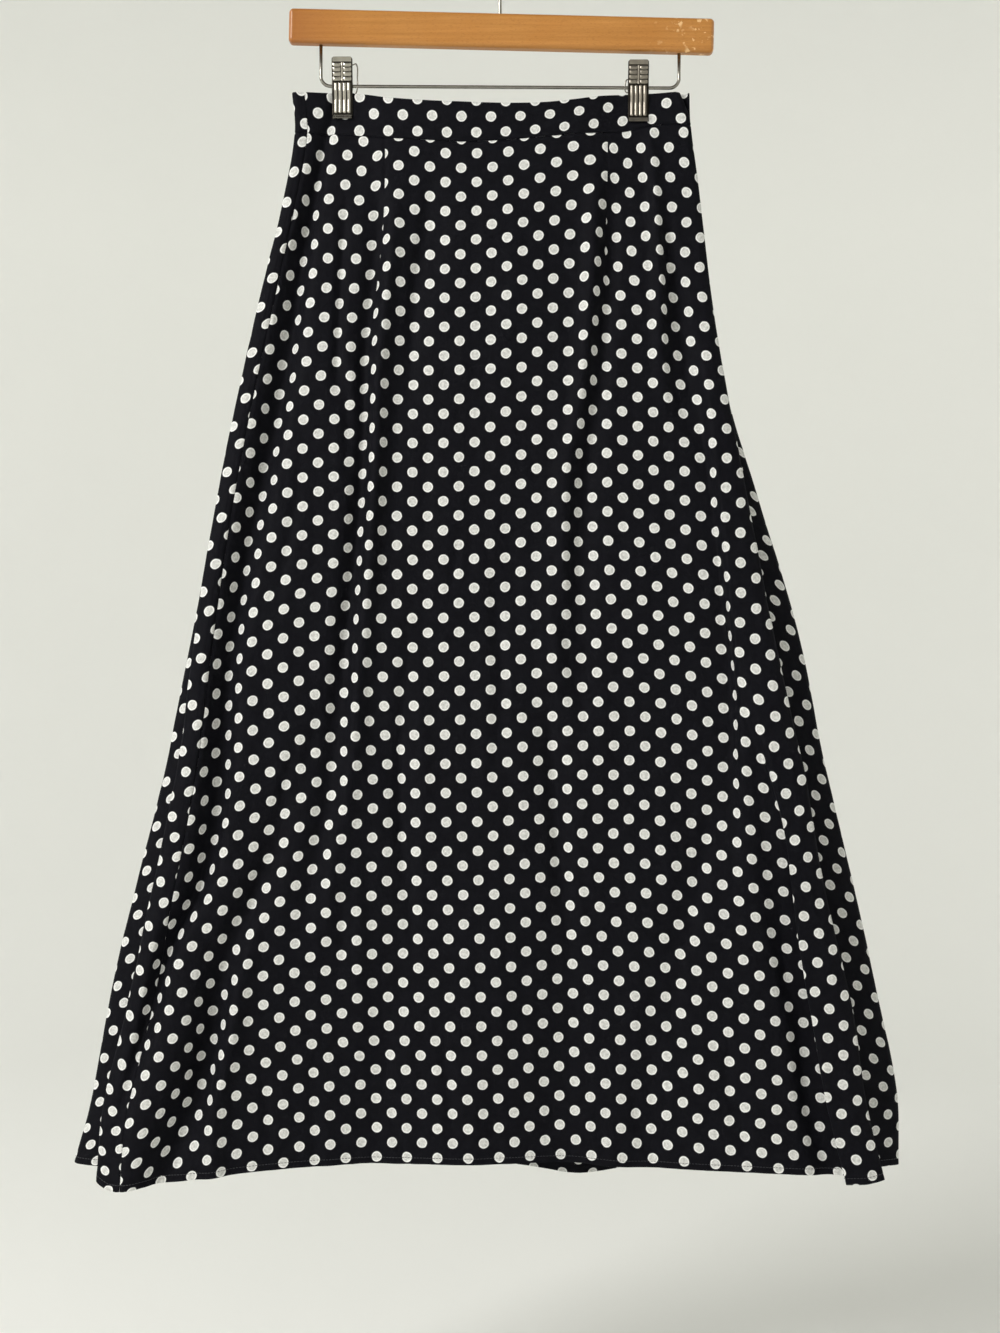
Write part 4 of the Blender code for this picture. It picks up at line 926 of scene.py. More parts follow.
def dotted_viscose(name, ground, dots, dot_strength):
    """Plain-woven viscose, printed black with off-white dots: matt and soft, a faint sheen at a slant.

    ground is the two tones of the black, and dots those of the white's middle and the one of its rim.
    """
    material, tree, shader = finish_named(name, {
        "Roughness": 0.68,
        "IOR": 1.45,
        "Specular IOR Level": 0.06,
        "Sheen Weight": 0.03,
        "Sheen Roughness": 0.4,
        "Sheen Tint": linear("#a8a8b4"),
    })
    place = add(tree, "ShaderNodeUVMap", uv_map="cloth")
    wander = add(tree, "ShaderNodeTexNoise", {
        "Vector": place, "Scale": 1 / (4.0 * MM), "Detail": 1.0}, noise_dimensions="2D")
    moved = add(tree, "ShaderNodeVectorMath", {
        0: wander.outputs["Color"], 1: (PRINT_WANDER * MM, PRINT_WANDER * MM, 0), 2: place},
        operation="MULTIPLY_ADD")
    moved = add(tree, "ShaderNodeVectorMath", {
        0: moved, 1: (PRINT_WANDER / 2 * MM, PRINT_WANDER / 2 * MM, 0)}, operation="SUBTRACT")
    cell = (DOT_ACROSS * MM, DOT_DOWN * MM, 1)
    counted = add(tree, "ShaderNodeVectorMath", {0: moved, 1: cell}, operation="DIVIDE")
    distances = []
    for offset in (0.5, 0.0):
        shifted = add(tree, "ShaderNodeVectorMath", {0: counted, 1: (offset, offset, 0)}, operation="ADD")
        fraction = add(tree, "ShaderNodeVectorMath", {0: shifted}, operation="FRACTION")
        centred = add(tree, "ShaderNodeVectorMath", {0: fraction, 1: (0.5, 0.5, 0)}, operation="SUBTRACT")
        sized = add(tree, "ShaderNodeVectorMath", {0: centred, 1: (*cell[:2], 0)}, operation="MULTIPLY")
        distances.append(add(tree, "ShaderNodeVectorMath", {0: sized}, operation="LENGTH"))
    nearest = add(tree, "ShaderNodeMath", {0: distances[0], 1: distances[1]}, operation="MINIMUM")
    inside = add(tree, "ShaderNodeMapRange", {
        "Value": nearest, "From Min": (DOT / 2 + PRINT_SOFT) * MM, "From Max": (DOT / 2 - PRINT_SOFT) * MM,
        "To Max": dot_strength}, interpolation_type="SMOOTHSTEP")
    # Threads take the ink unevenly.
    mottle = add(tree, "ShaderNodeTexNoise", {
        "Vector": place, "Scale": 1 / (MOTTLE * MM), "Detail": 3.0, "Roughness": 0.6}, noise_dimensions="2D")
    middle = add(tree, "ShaderNodeMix", {
        "Factor": mottle, 6: linear(dots[0]), 7: linear(dots[1])}, data_type="RGBA")
    rim = add(tree, "ShaderNodeMapRange", {
        "Value": nearest, "From Min": (DOT / 2 - DOT_RIM[0]) * MM, "From Max": (DOT / 2 - DOT_RIM[1]) * MM,
        "To Max": RIM_EVEN}, interpolation_type="SMOOTHSTEP")
    white = add(tree, "ShaderNodeMix", {"Factor": rim, 6: middle, 7: linear(dots[2])}, data_type="RGBA")
    cloud = add(tree, "ShaderNodeTexNoise", {
        "Vector": place, "Scale": 1 / (CLOUD * MM), "Detail": 2.0}, noise_dimensions="2D")
    black = add(tree, "ShaderNodeMix", {
        "Factor": cloud, 6: linear(ground[0]), 7: linear(ground[1])}, data_type="RGBA")
    colour = add(tree, "ShaderNodeMix", {"Factor": inside, 6: black, 7: white}, data_type="RGBA")
    # Thicker threads show as a faint unevenness both ways, with the finest crumples on top.
    threads = [add(tree, "ShaderNodeTexWave", {
        "Vector": place, "Scale": BANDS / (SLUBS * MM), "Distortion": 1.5, "Detail": 1.0},
        wave_type="BANDS", bands_direction=direction).outputs["Fac"] for direction in ("X", "Y")]
    weave = add(tree, "ShaderNodeMath", {0: threads[0], 1: threads[1]}, operation="MULTIPLY")
    crumple = add(tree, "ShaderNodeTexNoise", {
        "Vector": place, "Scale": 1 / (CRUMPLE * MM), "Detail": 4.0, "Roughness": 0.55},
        noise_dimensions="2D")
    fine = add(tree, "ShaderNodeBump", {"Height": weave, "Strength": 0.35, "Distance": 0.06 * MM})
    rough = add(tree, "ShaderNodeBump", {
        "Height": crumple, "Strength": 0.6, "Distance": 0.8 * MM, "Normal": fine})
    plug(tree, shader, {"Base Color": colour, "Normal": rough})
    return material


def varnished_wood():
    """Beech or maple under honey varnish: warm, closely grained along the bar, glossy where it is whole."""
    material, tree, shader = finish_named("honey_varnished_beech", {
        "Roughness": 0.38,
        "IOR": 1.5,
        "Specular IOR Level": 0.35,
        "Coat Weight": 0.14,
        "Coat Roughness": 0.22,
        "Coat IOR": 1.5,
    })
    place = add(tree, "ShaderNodeTexCoord").outputs["Object"]
    # Growth rings show as streaks about 3 mm apart that run on for some 150 mm.
    along = add(tree, "ShaderNodeMapping", {"Vector": place, "Scale": (1 / 0.15, 1 / 0.006, 1 / 0.003)})
    streaks = add(tree, "ShaderNodeTexNoise", {
        "Vector": along, "Scale": 1.0, "Detail": 3.0, "Roughness": 0.55, "Distortion": 0.6})
    # Beech flecks: short dashes, about 2 mm long and 0.5 mm high.
    dashes = add(tree, "ShaderNodeMapping", {"Vector": place, "Scale": (1 / 0.0022, 1 / 0.0008, 1 / 0.0005)})
    flecks, blotch, chips, patches = [
        add(tree, "ShaderNodeTexNoise", {"Vector": vector, "Scale": scale, "Detail": detail})
        for vector, scale, detail in (
            (dashes, 1.0, 1.0), (place, 1 / 0.035, 2.0), (place, 1 / 0.0042, 2.0), (place, 1 / 0.012, 1.0))]
    # Worn near the right end: pale chips in the varnish, 1 to 3 mm across. The left end is darker with age.
    along_bar = add(tree, "ShaderNodeSeparateXYZ", {0: place})
    fleck, chip, patch, worn, aged = [
        add(tree, "ShaderNodeMapRange", {"Value": value, "From Min": start, "From Max": end, "To Max": most})
        for value, start, end, most in (
            (flecks, 0.56, 0.72, 0.28), (chips, 0.58, 0.64, 1.0), (patches, 0.42, 0.52, 1.0),
            (along_bar, 0.118, 0.150, 0.75), (along_bar, -0.120, -0.170, 0.55))]
    chipped = add(tree, "ShaderNodeMath", {0: chip, 1: worn}, operation="MULTIPLY")
    chipped = add(tree, "ShaderNodeMath", {0: chipped, 1: patch}, operation="MULTIPLY")
    colour = add(tree, "ShaderNodeMix", {
        "Factor": streaks, 6: linear("#84500f"), 7: linear("#d79b55")}, data_type="RGBA")
    for share, tint in ((blotch, "#ac7130"), (fleck, "#7c4a18"), (aged, "#8a4a17"), (chipped, "#eec690")):
        colour = add(tree, "ShaderNodeMix", {"Factor": share, 6: colour, 7: linear(tint)}, data_type="RGBA")
    lift = add(tree, "ShaderNodeMath", {0: chipped, 1: -1.2, 2: streaks}, operation="MULTIPLY_ADD")
    bump = add(tree, "ShaderNodeBump", {"Height": lift, "Strength": 0.4, "Distance": 0.12 * MM})
    plug(tree, shader, {"Base Color": colour, "Normal": bump})
    return material


def steel(name, colour, rough, scratch_apart, relief, groove_shade=None):
    """Plated steel: bright, with fine scratches that soften its gloss and a tarnish that clouds it.

    Where a shade colour is given, the grooves of the pressing, where the mesh's raised attribute is low, are
    painted in it as painted shade.
    """
    material, tree, shader = finish_named(name, {"Metallic": 1.0, "Roughness": rough})
    place = add(tree, "ShaderNodeTexCoord").outputs["Object"]
    lines = add(tree, "ShaderNodeTexNoise", {
        "Vector": place, "Scale": 1 / scratch_apart, "Detail": 4.0, "Roughness": 0.6})
    tarnish = add(tree, "ShaderNodeTexNoise", {"Vector": place, "Scale": 1 / 0.006, "Detail": 2.0})
    tone = add(tree, "ShaderNodeMix", {
        "Factor": tarnish, 6: linear(colour[0]), 7: linear(colour[1])}, data_type="RGBA")
    # Painted shade: the grooves between the pressed ribs and pillows are darkened toward a dark colour, as
    # where shade falls.
    if groove_shade:
        height = add(tree, "ShaderNodeAttribute", attribute_name="raised")
        clear = add(tree, "ShaderNodeMapRange", {
            "Value": height.outputs["Fac"], "From Min": 0.02, "From Max": 0.5},
            interpolation_type="SMOOTHSTEP")
        tone = add(tree, "ShaderNodeMix", {"Factor": clear, 6: linear(groove_shade), 7: tone}, data_type="RGBA")
    worn = add(tree, "ShaderNodeMapRange", {
        "Value": lines, "From Min": 0.3, "From Max": 0.7, "To Min": rough - 0.06, "To Max": rough + 0.10})
    bump = add(tree, "ShaderNodeBump", {"Height": lines, "Strength": relief, "Distance": 0.03 * MM})
    plug(tree, shader, {"Base Color": tone, "Roughness": worn, "Normal": bump})
    return material


def sewing_thread():
    """Black spun polyester thread: matt, a little lighter than the print where it catches light."""
    material, tree, shader = finish_named("black_sewing_thread", {
        "Roughness": 0.62,
        "Sheen Weight": 0.2,
    })
    place = add(tree, "ShaderNodeTexCoord").outputs["Object"]
    twist = add(tree, "ShaderNodeTexNoise", {"Vector": place, "Scale": 1 / (0.4 * MM), "Detail": 1.0})
    tone = add(tree, "ShaderNodeMix", {
        "Factor": twist, 6: linear("#101014"), 7: linear("#23232a")}, data_type="RGBA")
    plug(tree, shader, {"Base Color": tone})
    return material


def studio_paper():
    """Pale matt studio floor."""
    material, tree, shader = finish_named("pale_studio_paper", {"Roughness": 0.9})
    place = add(tree, "ShaderNodeTexCoord").outputs["Object"]
    cloud = add(tree, "ShaderNodeTexNoise", {"Vector": place, "Scale": 1.2, "Detail": 2.0})
    tone = add(tree, "ShaderNodeMix", {
        "Factor": cloud, 6: linear("#f2f3ee"), 7: linear("#f6f6f2")}, data_type="RGBA")
    plug(tree, shader, {"Base Color": tone})
    return material


# The hanger, in mm, as in the solids
BAR_SIZE = (350.0, 12.0, 28.4)
BAR_ROUND = 3.6
BAR_MIDDLE = (1.2, 0.0, -89.2)
BAR_TILT = math.radians(1.4)
HOOK_WIRE = 3.2
HOOK_RADIUS = 22.0
HOOK_START = math.radians(-40)
HOOK_END = math.radians(205)
HOOK_BEND = 14.0
WIRE_SEAT = 14.0                # how far the hook's stem reaches into the bar
STEM_RUN = 12.0                 # straight run at its foot
CLIP_WIRE = 2.8
CLIP_WIRE_HALF = 147.7
CLIP_WIRE_Z = (-133.8, -135.4)  # at its left and its right corner
CLIP_WIRE_BEND = 8.0
CLIP_WIRE_SEAT = 8.0

# A clip: two ribbed plates pressed from sheet steel, hinged on the wire by a coiled spring
JAW_SHEET = 0.7
FRONT_JAW_WIDE = 17.0
BACK_JAW_WIDE = 14.2
JAW_LINE = (
    # mm below the top, mm of the outer face from the hanger's plane, mm of bent-back side
    (0.0, 7.65, 2.4),
    (8.0, 7.05, 2.4),
    (16.8, 4.75, 2.2),
    (26.8, 4.70, 2.0),
    (33.8, 2.95, 0.35),
    (46.4, 2.95, 0.35),
    (49.4, 4.15, 0.35),
)
JAW_ROWS = 150
JAW_COLUMNS = 61
BEND_ROWS = 3                   # rows on each side over which a bend is rounded
SIDE_BEND = 0.9                 # radius of the bent sides
HEAD_PLAIN = 4.5                # plain band at the top of a jaw
PILLOW_TALL = 3.6
PILLOWS = 4
RIB_START = 19.4
RIB_END = 45.2
RIBS = (-5.35, -1.8, 1.8, 5.35)
RIB_HALF = 1.45
RELIEF = 0.75                   # mm that the pattern stands out
RELIEF_EDGE = 0.9               # mm over which it dies out at a jaw's sides
PILLOW_SWELL = 1.15
PILLOW_GAP = 0.9                # mm from a jaw's middle where its pillows begin
PILLOW_END = 0.7                # mm from its side where they end
SPINE_HALF = 0.75               # half width of the ridge between them
RIB_ENDS = 1.6                  # mm over which the ribs rise and fall at their ends
PLAIN_SOFT = 0.8                # mm over which the plain band and the lip rise
PLAIN_SHARES = (0.55, 0.5)      # their height, as shares of the relief
PLAIN_APART = (0.3, 0.4)        # mm between them and the pillows or the ribs
EAR_RADIUS = 3.3
EAR_SHEET = 0.7
EAR_REACH = 4.3                 # mm from the hanger's plane where an ear meets its plate
CORNER = 2.0                    # mm of a plate's top that its rounded corners take up on each side
CORNER_CURVE = 0.35
SPRING_WIRE = 1.1
SPRING_RADIUS = 2.9
SPRING_TURNS = 6
COIL_STEPS = 20                 # points on one turn
SPRING_HALF = 4.0
SPRING_LOOPS = {
    # points of the spring's side loop: mm from the clip's middle, mm from the hanger's plane, height
    "left": ((7.2, -1.0, -117.5), (10.8, -1.0, -115.6), (12.2, -0.9, -118.4), (12.2, -0.6, -127.0),
             (12.1, -0.3, -136.5), (10.2, -0.2, -140.6), (7.4, -0.2, -139.6)),
    "right": ((-6.9, -0.9, -128.6), (-9.4, -0.9, -128.8), (-10.6, -0.8, -131.2), (-10.9, -0.6, -134.0),
              (-10.5, -0.4, -138.0), (-8.8, -0.4, -139.4), (-6.8, -0.3, -138.2)),
}


def mesh_piece(name, points, faces, look):
    """Smooth-shaded piece from points in mm."""
    mesh = bpy.data.meshes.new(name)
    mesh.from_pydata((np.asarray(points, dtype=float) * MM).tolist(), [], [list(face) for face in faces])
    mesh.validate()
    mesh.shade_smooth()
    mesh.materials.append(look)
    return in_scene(name, mesh)


def join(name, pieces):
    """One piece from several that share its materials."""
    work = bmesh.new()
    for piece in pieces:
        work.from_mesh(piece.data)
    mesh = bpy.data.meshes.new(name)
    work.to_mesh(mesh)
    work.free()
    mesh.materials.append(pieces[0].data.materials[0])
    for piece in pieces:
        bpy.data.objects.remove(piece)
    return in_scene(name, mesh)


def rounded_corner(before, corner, after, radius, steps):
    """Points of an arc that rounds a corner between two straight runs."""
    back = np.subtract(before, corner)
    back = back / np.linalg.norm(back)
    ahead = np.subtract(after, corner)
    ahead = ahead / np.linalg.norm(ahead)
    half = math.acos(float(np.clip(back @ ahead, -1, 1))) / 2
    reach = radius / math.tan(half)
    bisector = (back + ahead) / np.linalg.norm(back + ahead)
    centre = np.asarray(corner) + bisector * radius / math.sin(half)
    start = np.asarray(corner) + back * reach - centre
    end = np.asarray(corner) + ahead * reach - centre
    swing = math.acos(float(np.clip(start @ end / radius ** 2, -1, 1)))
    return [centre + (start * math.sin(swing * (1 - k / steps)) + end * math.sin(swing * k / steps))
            / math.sin(swing) for k in range(steps + 1)]


TIP = 0.05                      # a rounded wire's tip is this share of its thickness wide


def tube(name, path, diameter, look, sides=14, round_ends=True):
    """Wire along a path in mm, with closed ends."""
    path = np.asarray(path, dtype=float)
    way = np.gradient(path, axis=0)
    way /= np.linalg.norm(way, axis=1, keepdims=True)
    radius = diameter / 2
    if round_ends:
        turns = [math.pi / 2 * k / 4 for k in (4, 3, 2, 1)]
        heads = [(path[0] - way[0] * radius * math.sin(a), way[0], math.cos(a)) for a in turns]
        tails = [(path[-1] + way[-1] * radius * math.sin(a), way[-1], math.cos(a)) for a in turns[::-1]]
    else:
        heads, tails = [], []
    run = [*heads, *[(p, w, 1.0) for p, w in zip(path, way)], *tails]
    across = np.cross(run[0][1], (0.0, 1.0, 0.0))
    if np.linalg.norm(across) < 0.3:
        across = np.cross(run[0][1], (1.0, 0.0, 0.0))
    points = []
    for middle, ahead, size in run:
        across = across - ahead * (across @ ahead)
        across = across / np.linalg.norm(across)
        up = np.cross(ahead, across)
        for k in range(sides):
            angle = 2 * math.pi * k / sides
            spoke = across * math.cos(angle) + up * math.sin(angle)
            points.append(middle + radius * max(TIP, size) * spoke)
    faces = [list(range(sides))[::-1], list(range(len(points) - sides, len(points)))]
    for j in range(len(run) - 1):
        for k in range(sides):
            after = (k + 1) % sides
            faces.append((j * sides + k, j * sides + after, (j + 1) * sides + after, (j + 1) * sides + k))
    return mesh_piece(name, points, faces, look)


def bar_edge(x, which):
    """Height of the bar's upper (1) or lower (-1) face at x, in mm."""
    return (BAR_MIDDLE[2] + which * BAR_SIZE[2] / 2 / math.cos(BAR_TILT)
            - (x - BAR_MIDDLE[0]) * math.tan(BAR_TILT))


def make_bar(look):
    """Wooden bar with softly rounded edges."""
    work = bmesh.new()
    bmesh.ops.create_cube(work, size=1.0)
    bmesh.ops.transform(work, matrix=Matrix.Diagonal((*[s * MM for s in BAR_SIZE], 1)), verts=work.verts)
    bmesh.ops.bevel(work, geom=work.edges[:], offset=BAR_ROUND * MM, segments=7, profile=0.5, affect="EDGES",
                    clamp_overlap=True)
    turn = Matrix.Translation([v * MM for v in BAR_MIDDLE]) @ Matrix.Rotation(BAR_TILT, 4, "Y")
    bmesh.ops.transform(work, matrix=turn, verts=work.verts)
    mesh = bpy.data.meshes.new("hanger_bar_wood")
    work.to_mesh(mesh)
    work.free()
    mesh.shade_smooth()
    mesh.materials.append(look)
    bar = in_scene("hanger_bar_wood", mesh)
    weighted = bar.modifiers.new("flat_faces", "WEIGHTED_NORMAL")
    weighted.weight = 100
    weighted.keep_sharp = True
    return bar


def make_hook(look):
    """Bent wire: stem, a short bend, and the open hook."""
    middle = np.array((0.0, 0.0, HOOK_WIRE / 2 - HOOK_RADIUS))

    def on_arc(angle):
        return middle + HOOK_RADIUS * np.array((math.cos(angle), 0.0, math.sin(angle)))

    start = on_arc(HOOK_START)
    along = np.array((-math.sin(HOOK_START), 0.0, math.cos(HOOK_START)))
    corner = start - along * (start[0] / along[0])
    foot = np.array((0.0, 0.0, bar_edge(0.0, 1) - WIRE_SEAT))
    path = [foot, foot + (0.0, 0.0, STEM_RUN)]
    path += rounded_corner(foot, corner, start, HOOK_BEND, 12)
    path += [on_arc(HOOK_START + (HOOK_END - HOOK_START) * k / 60) for k in range(61)]
    return tube("hook_steel", path, HOOK_WIRE, look, sides=18)


def make_clip_wire(look):
    """Bent wire below the bar, both ends let into the wood."""
    half = CLIP_WIRE_HALF
    corners = [(-half, 0, bar_edge(-half, -1) + CLIP_WIRE_SEAT), (-half, 0, CLIP_WIRE_Z[0]),
               (half, 0, CLIP_WIRE_Z[1]), (half, 0, bar_edge(half, -1) + CLIP_WIRE_SEAT)]
    path = [corners[0]]
    path += rounded_corner(corners[0], corners[1], corners[2], CLIP_WIRE_BEND, 10)
    path += rounded_corner(corners[1], corners[2], corners[3], CLIP_WIRE_BEND, 10)
    path.append(corners[3])
    return tube("clip_wire_steel", path, CLIP_WIRE, look, sides=16, round_ends=False)


def wire_height(x):
    """Height of the clip wire's middle at x, in mm."""
    share = (x + CLIP_WIRE_HALF) / (2 * CLIP_WIRE_HALF)
    return CLIP_WIRE_Z[0] + (CLIP_WIRE_Z[1] - CLIP_WIRE_Z[0]) * share


def jaw_relief(x, down, half):
    """Height of the pressed pattern at a place of a jaw: pillows on the head, ribs below, in mm."""
    edge = smooth((half - np.abs(x)) / RELIEF_EDGE)
    place = (down - HEAD_PLAIN) / PILLOW_TALL
    row = place - np.floor(place)
    bulge = 1 - np.abs(2 * row - 1) ** 2.2
    across = (np.abs(x) - PILLOW_GAP) / (half - PILLOW_GAP - PILLOW_END)
    pillow = bulge * (1 - np.abs(2 * np.clip(across, 0, 1) - 1) ** 3)
    spine = np.exp(-(x / SPINE_HALF) ** 4)
    head = np.maximum(pillow * PILLOW_SWELL, spine) * edge * ((place > 0) & (place < PILLOWS))
    ends = smooth((down - RIB_START) / RIB_ENDS) * smooth((RIB_END - down) / RIB_ENDS)
    ribs = np.max([np.cos(np.clip((x - middle) / RIB_HALF, -1, 1) * math.pi / 2) ** 1.3
                   for middle in RIBS], axis=0)
    plain = (PLAIN_SHARES[0] * smooth((HEAD_PLAIN - PLAIN_APART[0] - down) / PLAIN_SOFT)
             + PLAIN_SHARES[1] * smooth((down - RIB_END - PLAIN_APART[1]) / PLAIN_SOFT))
    return RELIEF * edge * (head + ends * ribs + plain)


def make_jaw(name, middle, top, out, wide, look):
    """Ribbed plate of one clip, with bent-back sides and two ears round the wire. out is -1 in front."""
    half = wide / 2
    downs = np.linspace(0, CLIP_TALL, JAW_ROWS)
    flat = np.linspace(-half + SIDE_BEND, half - SIDE_BEND, JAW_COLUMNS)
    turns = [math.pi / 2 * k / 4 for k in range(1, 5)]
    bend = [(half - SIDE_BEND + SIDE_BEND * math.sin(a), SIDE_BEND * (1 - math.cos(a))) for a in turns]
    columns = [(-x, back, 0.0) for x, back in bend[::-1]]
    columns = [(-half, SIDE_BEND, 1.0), *columns, *[(x, 0.0, 0.0) for x in flat],
               *[(x, back, 0.0) for x, back in bend], (half, SIDE_BEND, 1.0)]
    xs = np.array([column[0] for column in columns])
    backs = np.array([column[1] for column in columns])
    sides = np.array([column[2] for column in columns])
    line = np.array(JAW_LINE)
    outs = np.interp(downs, line[:, 0], line[:, 1])
    # Pressed sheet turns in soft bends, so the line's corners are rounded over 2 mm.
    kernel = np.ones(2 * BEND_ROWS + 1) / (2 * BEND_ROWS + 1)
    outs = np.convolve(np.pad(outs, BEND_ROWS, mode="edge"), kernel, mode="valid")
    flange = np.interp(downs, line[:, 0], line[:, 2])
    depth_grid = outs[:, None] - np.minimum(backs[None, :], flange[:, None] + 0.2)
    depth_grid -= sides[None, :] * flange[:, None]
    raised = jaw_relief(xs[None, :], downs[:, None], half) * (backs == 0)[None, :]
    depth_grid += raised
    # The top corners are rounded off.
    tops = np.maximum(0.0, np.abs(xs) - (half - CORNER)) ** 2 * CORNER_CURVE
    grid = np.stack([np.broadcast_to(middle + xs, depth_grid.shape), out * depth_grid,
                     top - downs[:, None] - tops[None, :] * np.exp(-downs / CORNER)[:, None]], axis=-1)
    rows, count = depth_grid.shape
    faces = grid_faces(grid_corners(rows, count, out > 0), count)
    plate = mesh_piece(f"{name}_plate", grid.reshape(-1, 3), faces, look)
    # The relief's height, from 0 to 1, which the material uses to paint shade into the grooves.
    height = plate.data.attributes.new("raised", "FLOAT", "POINT")
    height.data.foreach_set("value", (raised / RELIEF).reshape(-1).astype(np.float32))
    thick = plate.modifiers.new("sheet", "SOLIDIFY")
    thick.thickness = JAW_SHEET * MM
    thick.offset = -1
    plate = as_plain(plate)
    pieces = [plate]
    pivot = wire_height(middle)
    reach = out * EAR_REACH
    arc = [math.pi * (0.5 + k / 16) for k in range(17)]
    nose = [(-out * EAR_RADIUS * -math.cos(a), pivot + EAR_RADIUS * math.sin(a)) for a in arc]
    outline = [*nose, (reach, pivot - EAR_RADIUS), (reach, pivot + EAR_RADIUS)]
    for way in (-1, 1):
        x = middle + way * (half - EAR_SHEET / 2 - 0.05)
        sides_of_ear = [[(x + shift * EAR_SHEET / 2, y, z) for y, z in outline] for shift in (-1, 1)]
        size = len(outline)
        walls = [(k, (k + 1) % size, size + (k + 1) % size, size + k) for k in range(size)]
        pieces.append(mesh_piece(f"{name}_ear", sides_of_ear[0] + sides_of_ear[1],
                                 [list(range(size))[::-1], list(range(size, 2 * size)), *walls], look))
    jaw = join(name, pieces)
    jaw.data.shade_smooth()
    jaw.data.set_sharp_from_angle(angle=math.radians(40))
    return jaw


def as_plain(piece):
    """The piece with its modifiers applied."""
    shape = bpy.data.meshes.new_from_object(piece.evaluated_get(bpy.context.evaluated_depsgraph_get()))
    piece.modifiers.clear()
    old = piece.data
    piece.data = shape
    bpy.data.meshes.remove(old)
    return piece


def make_spring(name, middle, loop, look):
    """Coiled spring round the wire, with the loop of wire that stands out at the clip's side."""
    count = SPRING_TURNS * COIL_STEPS
    coil = []
    for k in range(count + 1):
        angle = 2 * math.pi * k / COIL_STEPS
        x = middle - SPRING_HALF + 2 * SPRING_HALF * k / count
        coil.append((x, SPRING_RADIUS * math.cos(angle), wire_height(x) + SPRING_RADIUS * math.sin(angle)))
    pieces = [tube(f"{name}_coil", coil, SPRING_WIRE, look, sides=8)]
    points = [(middle + x, y, z) for x, y, z in loop]
    path = spline([points[0], *points, points[-1]], 6)
    pieces.append(tube(f"{name}_loop", path, SPRING_WIRE, look, sides=8))
    spring = join(name, pieces)
    spring.data.shade_smooth()
    return spring


# Machine stitches
STITCH_PITCH = 2.6
STITCH_LONG = 1.8
STITCH_THICK = 0.42


def stitch_row(name, path, look):
    """Short threads in a row along a path in mm, set out by a node group and then made a plain mesh."""
    mesh = bpy.data.meshes.new(f"{name}_line")
    mesh.from_pydata((np.asarray(path) * MM).tolist(), [(k, k + 1) for k in range(len(path) - 1)], [])
    row = in_scene(name, mesh)
    tree = bpy.data.node_groups.new("stitches_on_a_line", "GeometryNodeTree")
    tree.interface.new_socket("Line", in_out="INPUT", socket_type="NodeSocketGeometry")
    pitch = tree.interface.new_socket("Pitch", in_out="INPUT", socket_type="NodeSocketFloat")
    tree.interface.new_socket("Stitches", in_out="OUTPUT", socket_type="NodeSocketGeometry")
    given = add(tree, "NodeGroupInput")
    curve = add(tree, "GeometryNodeMeshToCurve", {"Mesh": given.outputs["Line"]})
    places = add(tree, "GeometryNodeCurveToPoints", {
        "Curve": curve, "Length": given.outputs["Pitch"]}, mode="LENGTH")
    thread = add(tree, "GeometryNodeMeshCylinder", {
        "Vertices": 6, "Radius": STITCH_THICK / 2 * MM, "Depth": STITCH_LONG * MM})
    laid = add(tree, "GeometryNodeInstanceOnPoints", {
        "Points": places.outputs["Points"], "Instance": thread.outputs["Mesh"],
        "Rotation": places.outputs["Rotation"]})
    real = add(tree, "GeometryNodeRealizeInstances", {0: laid})
    painted = add(tree, "GeometryNodeSetMaterial", {"Geometry": real, "Material": look})
    add(tree, "NodeGroupOutput", {"Stitches": painted})
    setter = row.modifiers.new("stitches", "NODES")
    setter.node_group = tree
    setter[pitch.identifier] = STITCH_PITCH * MM
    as_plain(row)
    row.data.name = name
    return row


# The studio: one pale surface curved up all round, so that no edge of it shows from any side
FLOOR_Z = -1.30
FLOOR_FLAT = 1.7
BOWL_RADIUS = 1.9
BOWL_TALL = 3.2


def make_stage(look):
    """Round floor with a wall that bends up from it."""
    outline = [(0.0, FLOOR_Z), (FLOOR_FLAT * 0.5, FLOOR_Z)]
    outline += [(FLOOR_FLAT + BOWL_RADIUS * math.sin(a), FLOOR_Z + BOWL_RADIUS * (1 - math.cos(a)))
                for a in np.linspace(0, math.pi / 2, 20)]
    outline.append((FLOOR_FLAT + BOWL_RADIUS, FLOOR_Z + BOWL_RADIUS + BOWL_TALL))
    sides = 72
    points = [(0.0, 0.0, FLOOR_Z)]
    for radius, z in outline[1:]:
        points += [(radius * math.cos(2 * math.pi * k / sides), radius * math.sin(2 * math.pi * k / sides), z)
                   for k in range(sides)]
    faces = [(0, 1 + k, 1 + (k + 1) % sides) for k in range(sides)]
    for j in range(len(outline) - 2):
        for k in range(sides):
            a, b = 1 + j * sides + k, 1 + j * sides + (k + 1) % sides
            faces.append((a, a + sides, b + sides, b))
    bowl = mesh_piece("studio_bowl", np.array(points) / MM, faces, look)


LIT = (0.0, 0.0, -0.55)
LIGHTS = (
    # name, place, size, watts, colour
    ("window", (-2.45, -2.0, 1.0), (1.1, 1.3), 92, (1.0, 0.99, 0.98)),
    ("room", (2.2, -1.9, 0.2), (2.0, 2.0), 4, (1.0, 0.98, 0.95)),
    ("behind_left", (-2.9, 1.0, 1.9), (1.8, 1.8), 15, (0.98, 0.99, 1.0)),
    ("behind_right", (2.9, 1.0, 1.5), (1.8, 1.8), 14, (1.0, 0.99, 0.97)),
)


def area_light(name, place, target, size, power, colour):
    """Rectangular lamp, size in metres and power in watts, turned towards a target."""
    light = bpy.data.lights.new(name, "AREA")
    light.shape = "RECTANGLE"
    light.size, light.size_y = size
    light.energy = power
    light.color = colour
    lamp = in_scene(name, light)
    lamp.location = place
    lamp.rotation_euler = (Vector(target) - Vector(place)).to_track_quat("-Z", "Y").to_euler()


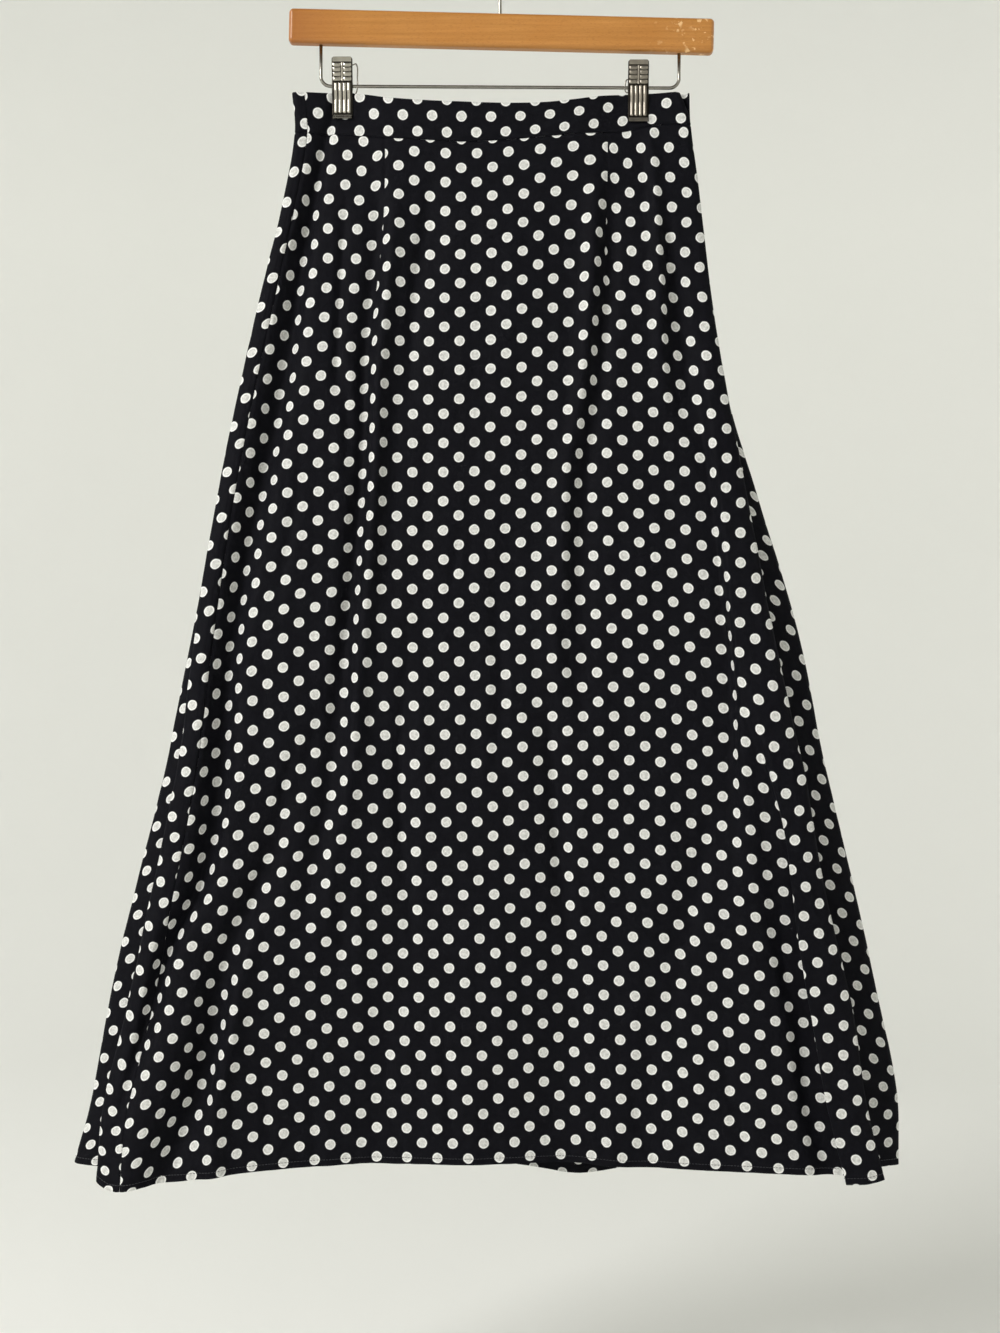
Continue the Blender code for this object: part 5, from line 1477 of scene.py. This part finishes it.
def make_lights():
    """Daylight from a window high on the left, weaker light back from the room, and a pale sky."""
    for name, place, size, power, colour in LIGHTS:
        area_light(name, place, LIT, size, power, colour)
    world = bpy.data.worlds.new("pale_room")
    world.use_nodes = True
    world.node_tree.nodes["Background"].inputs["Color"].default_value = linear("#f0efec")
    world.node_tree.nodes["Background"].inputs["Strength"].default_value = 0.18
    bpy.context.scene.world = world


def make_camera():
    """The photograph's viewpoint."""
    camera = bpy.data.cameras.new("camera")
    camera.sensor_fit = "AUTO"
    camera.sensor_width = SENSOR
    camera.lens = SENSOR * CAMERA_AWAY / (PIXEL * PICTURE_HIGH)
    camera.clip_start = 0.01
    camera.clip_end = 50.0
    holder = in_scene("camera", camera)
    holder.location = (0.0, -CAMERA_AWAY, CAMERA_HEIGHT)
    holder.rotation_euler = (math.radians(90), 0.0, 0.0)
    bpy.context.scene.camera = holder
    # Plain sRGB, as the photograph is
    bpy.context.scene.view_settings.view_transform = "Standard"


def main():
    """The studio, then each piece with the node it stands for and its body."""
    make_camera()
    make_lights()
    make_stage(studio_paper())

    outside = dotted_viscose("dotted_viscose_face", ("#0b0b0f", "#111116"),
                             ("#8e8e8b", "#ecece8", "#e8e8e5"), 1.0)
    inside = dotted_viscose("dotted_viscose_reverse", ("#1e1e23", "#26262b"),
                            ("#7f7f84", "#9c9c9a", "#9c9c9a"), 0.8)
    thread = sewing_thread()
    panels = make_panels((outside, inside))
    bands = make_band((outside, inside))
    for name, (piece, path, cut) in panels.items():
        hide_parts(name)
        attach(piece, "root")
        stitches = stitch_row(f"{name}_hem_stitches", path, thread)
        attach(stitches, "root")
    for name, piece in bands.items():
        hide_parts(name)
        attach(piece, "root")

    wood = varnished_wood()
    drawn = steel("bright_drawn_steel_wire", ("#807d76", "#9c9991"), 0.18, 0.0012, 0.3)
    # The last colour of each pressed steel is painted shade for the grooves of the jaws' pressing.
    pressed = {
        "left": steel("nickel_plated_pressed_steel", ("#938f85", "#bbb6ab"), 0.20, 0.0009, 0.15, "#2b2824"),
        "right": steel("tarnished_pressed_steel", ("#767069", "#9b9487"), 0.38, 0.0009, 0.2, "#24211d"),
    }
    hard = [(make_bar(wood), "hanger_bar", "wood"), (make_hook(drawn), "hanger_hook", "wire_steel"),
            (make_clip_wire(drawn), "clip_wire", "wire_steel")]
    for label, (middle, top) in CLIPS.items():
        front = make_jaw(f"clip_{label}_front_plate", middle, top, -1, FRONT_JAW_WIDE, pressed[label])
        back = make_jaw(f"clip_{label}_back_plate", middle, top, 1, BACK_JAW_WIDE, pressed[label])
        spring = make_spring(f"clip_{label}_spring_wire", middle, SPRING_LOOPS[label], drawn)
        hard += [(front, f"clip_{label}_front", "plated_steel"), (back, f"clip_{label}_back", "plated_steel"),
                 (spring, f"clip_{label}_spring", "plated_steel")]
    for piece, node, finish in hard:
        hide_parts(node)
        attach(piece, "root")


main()
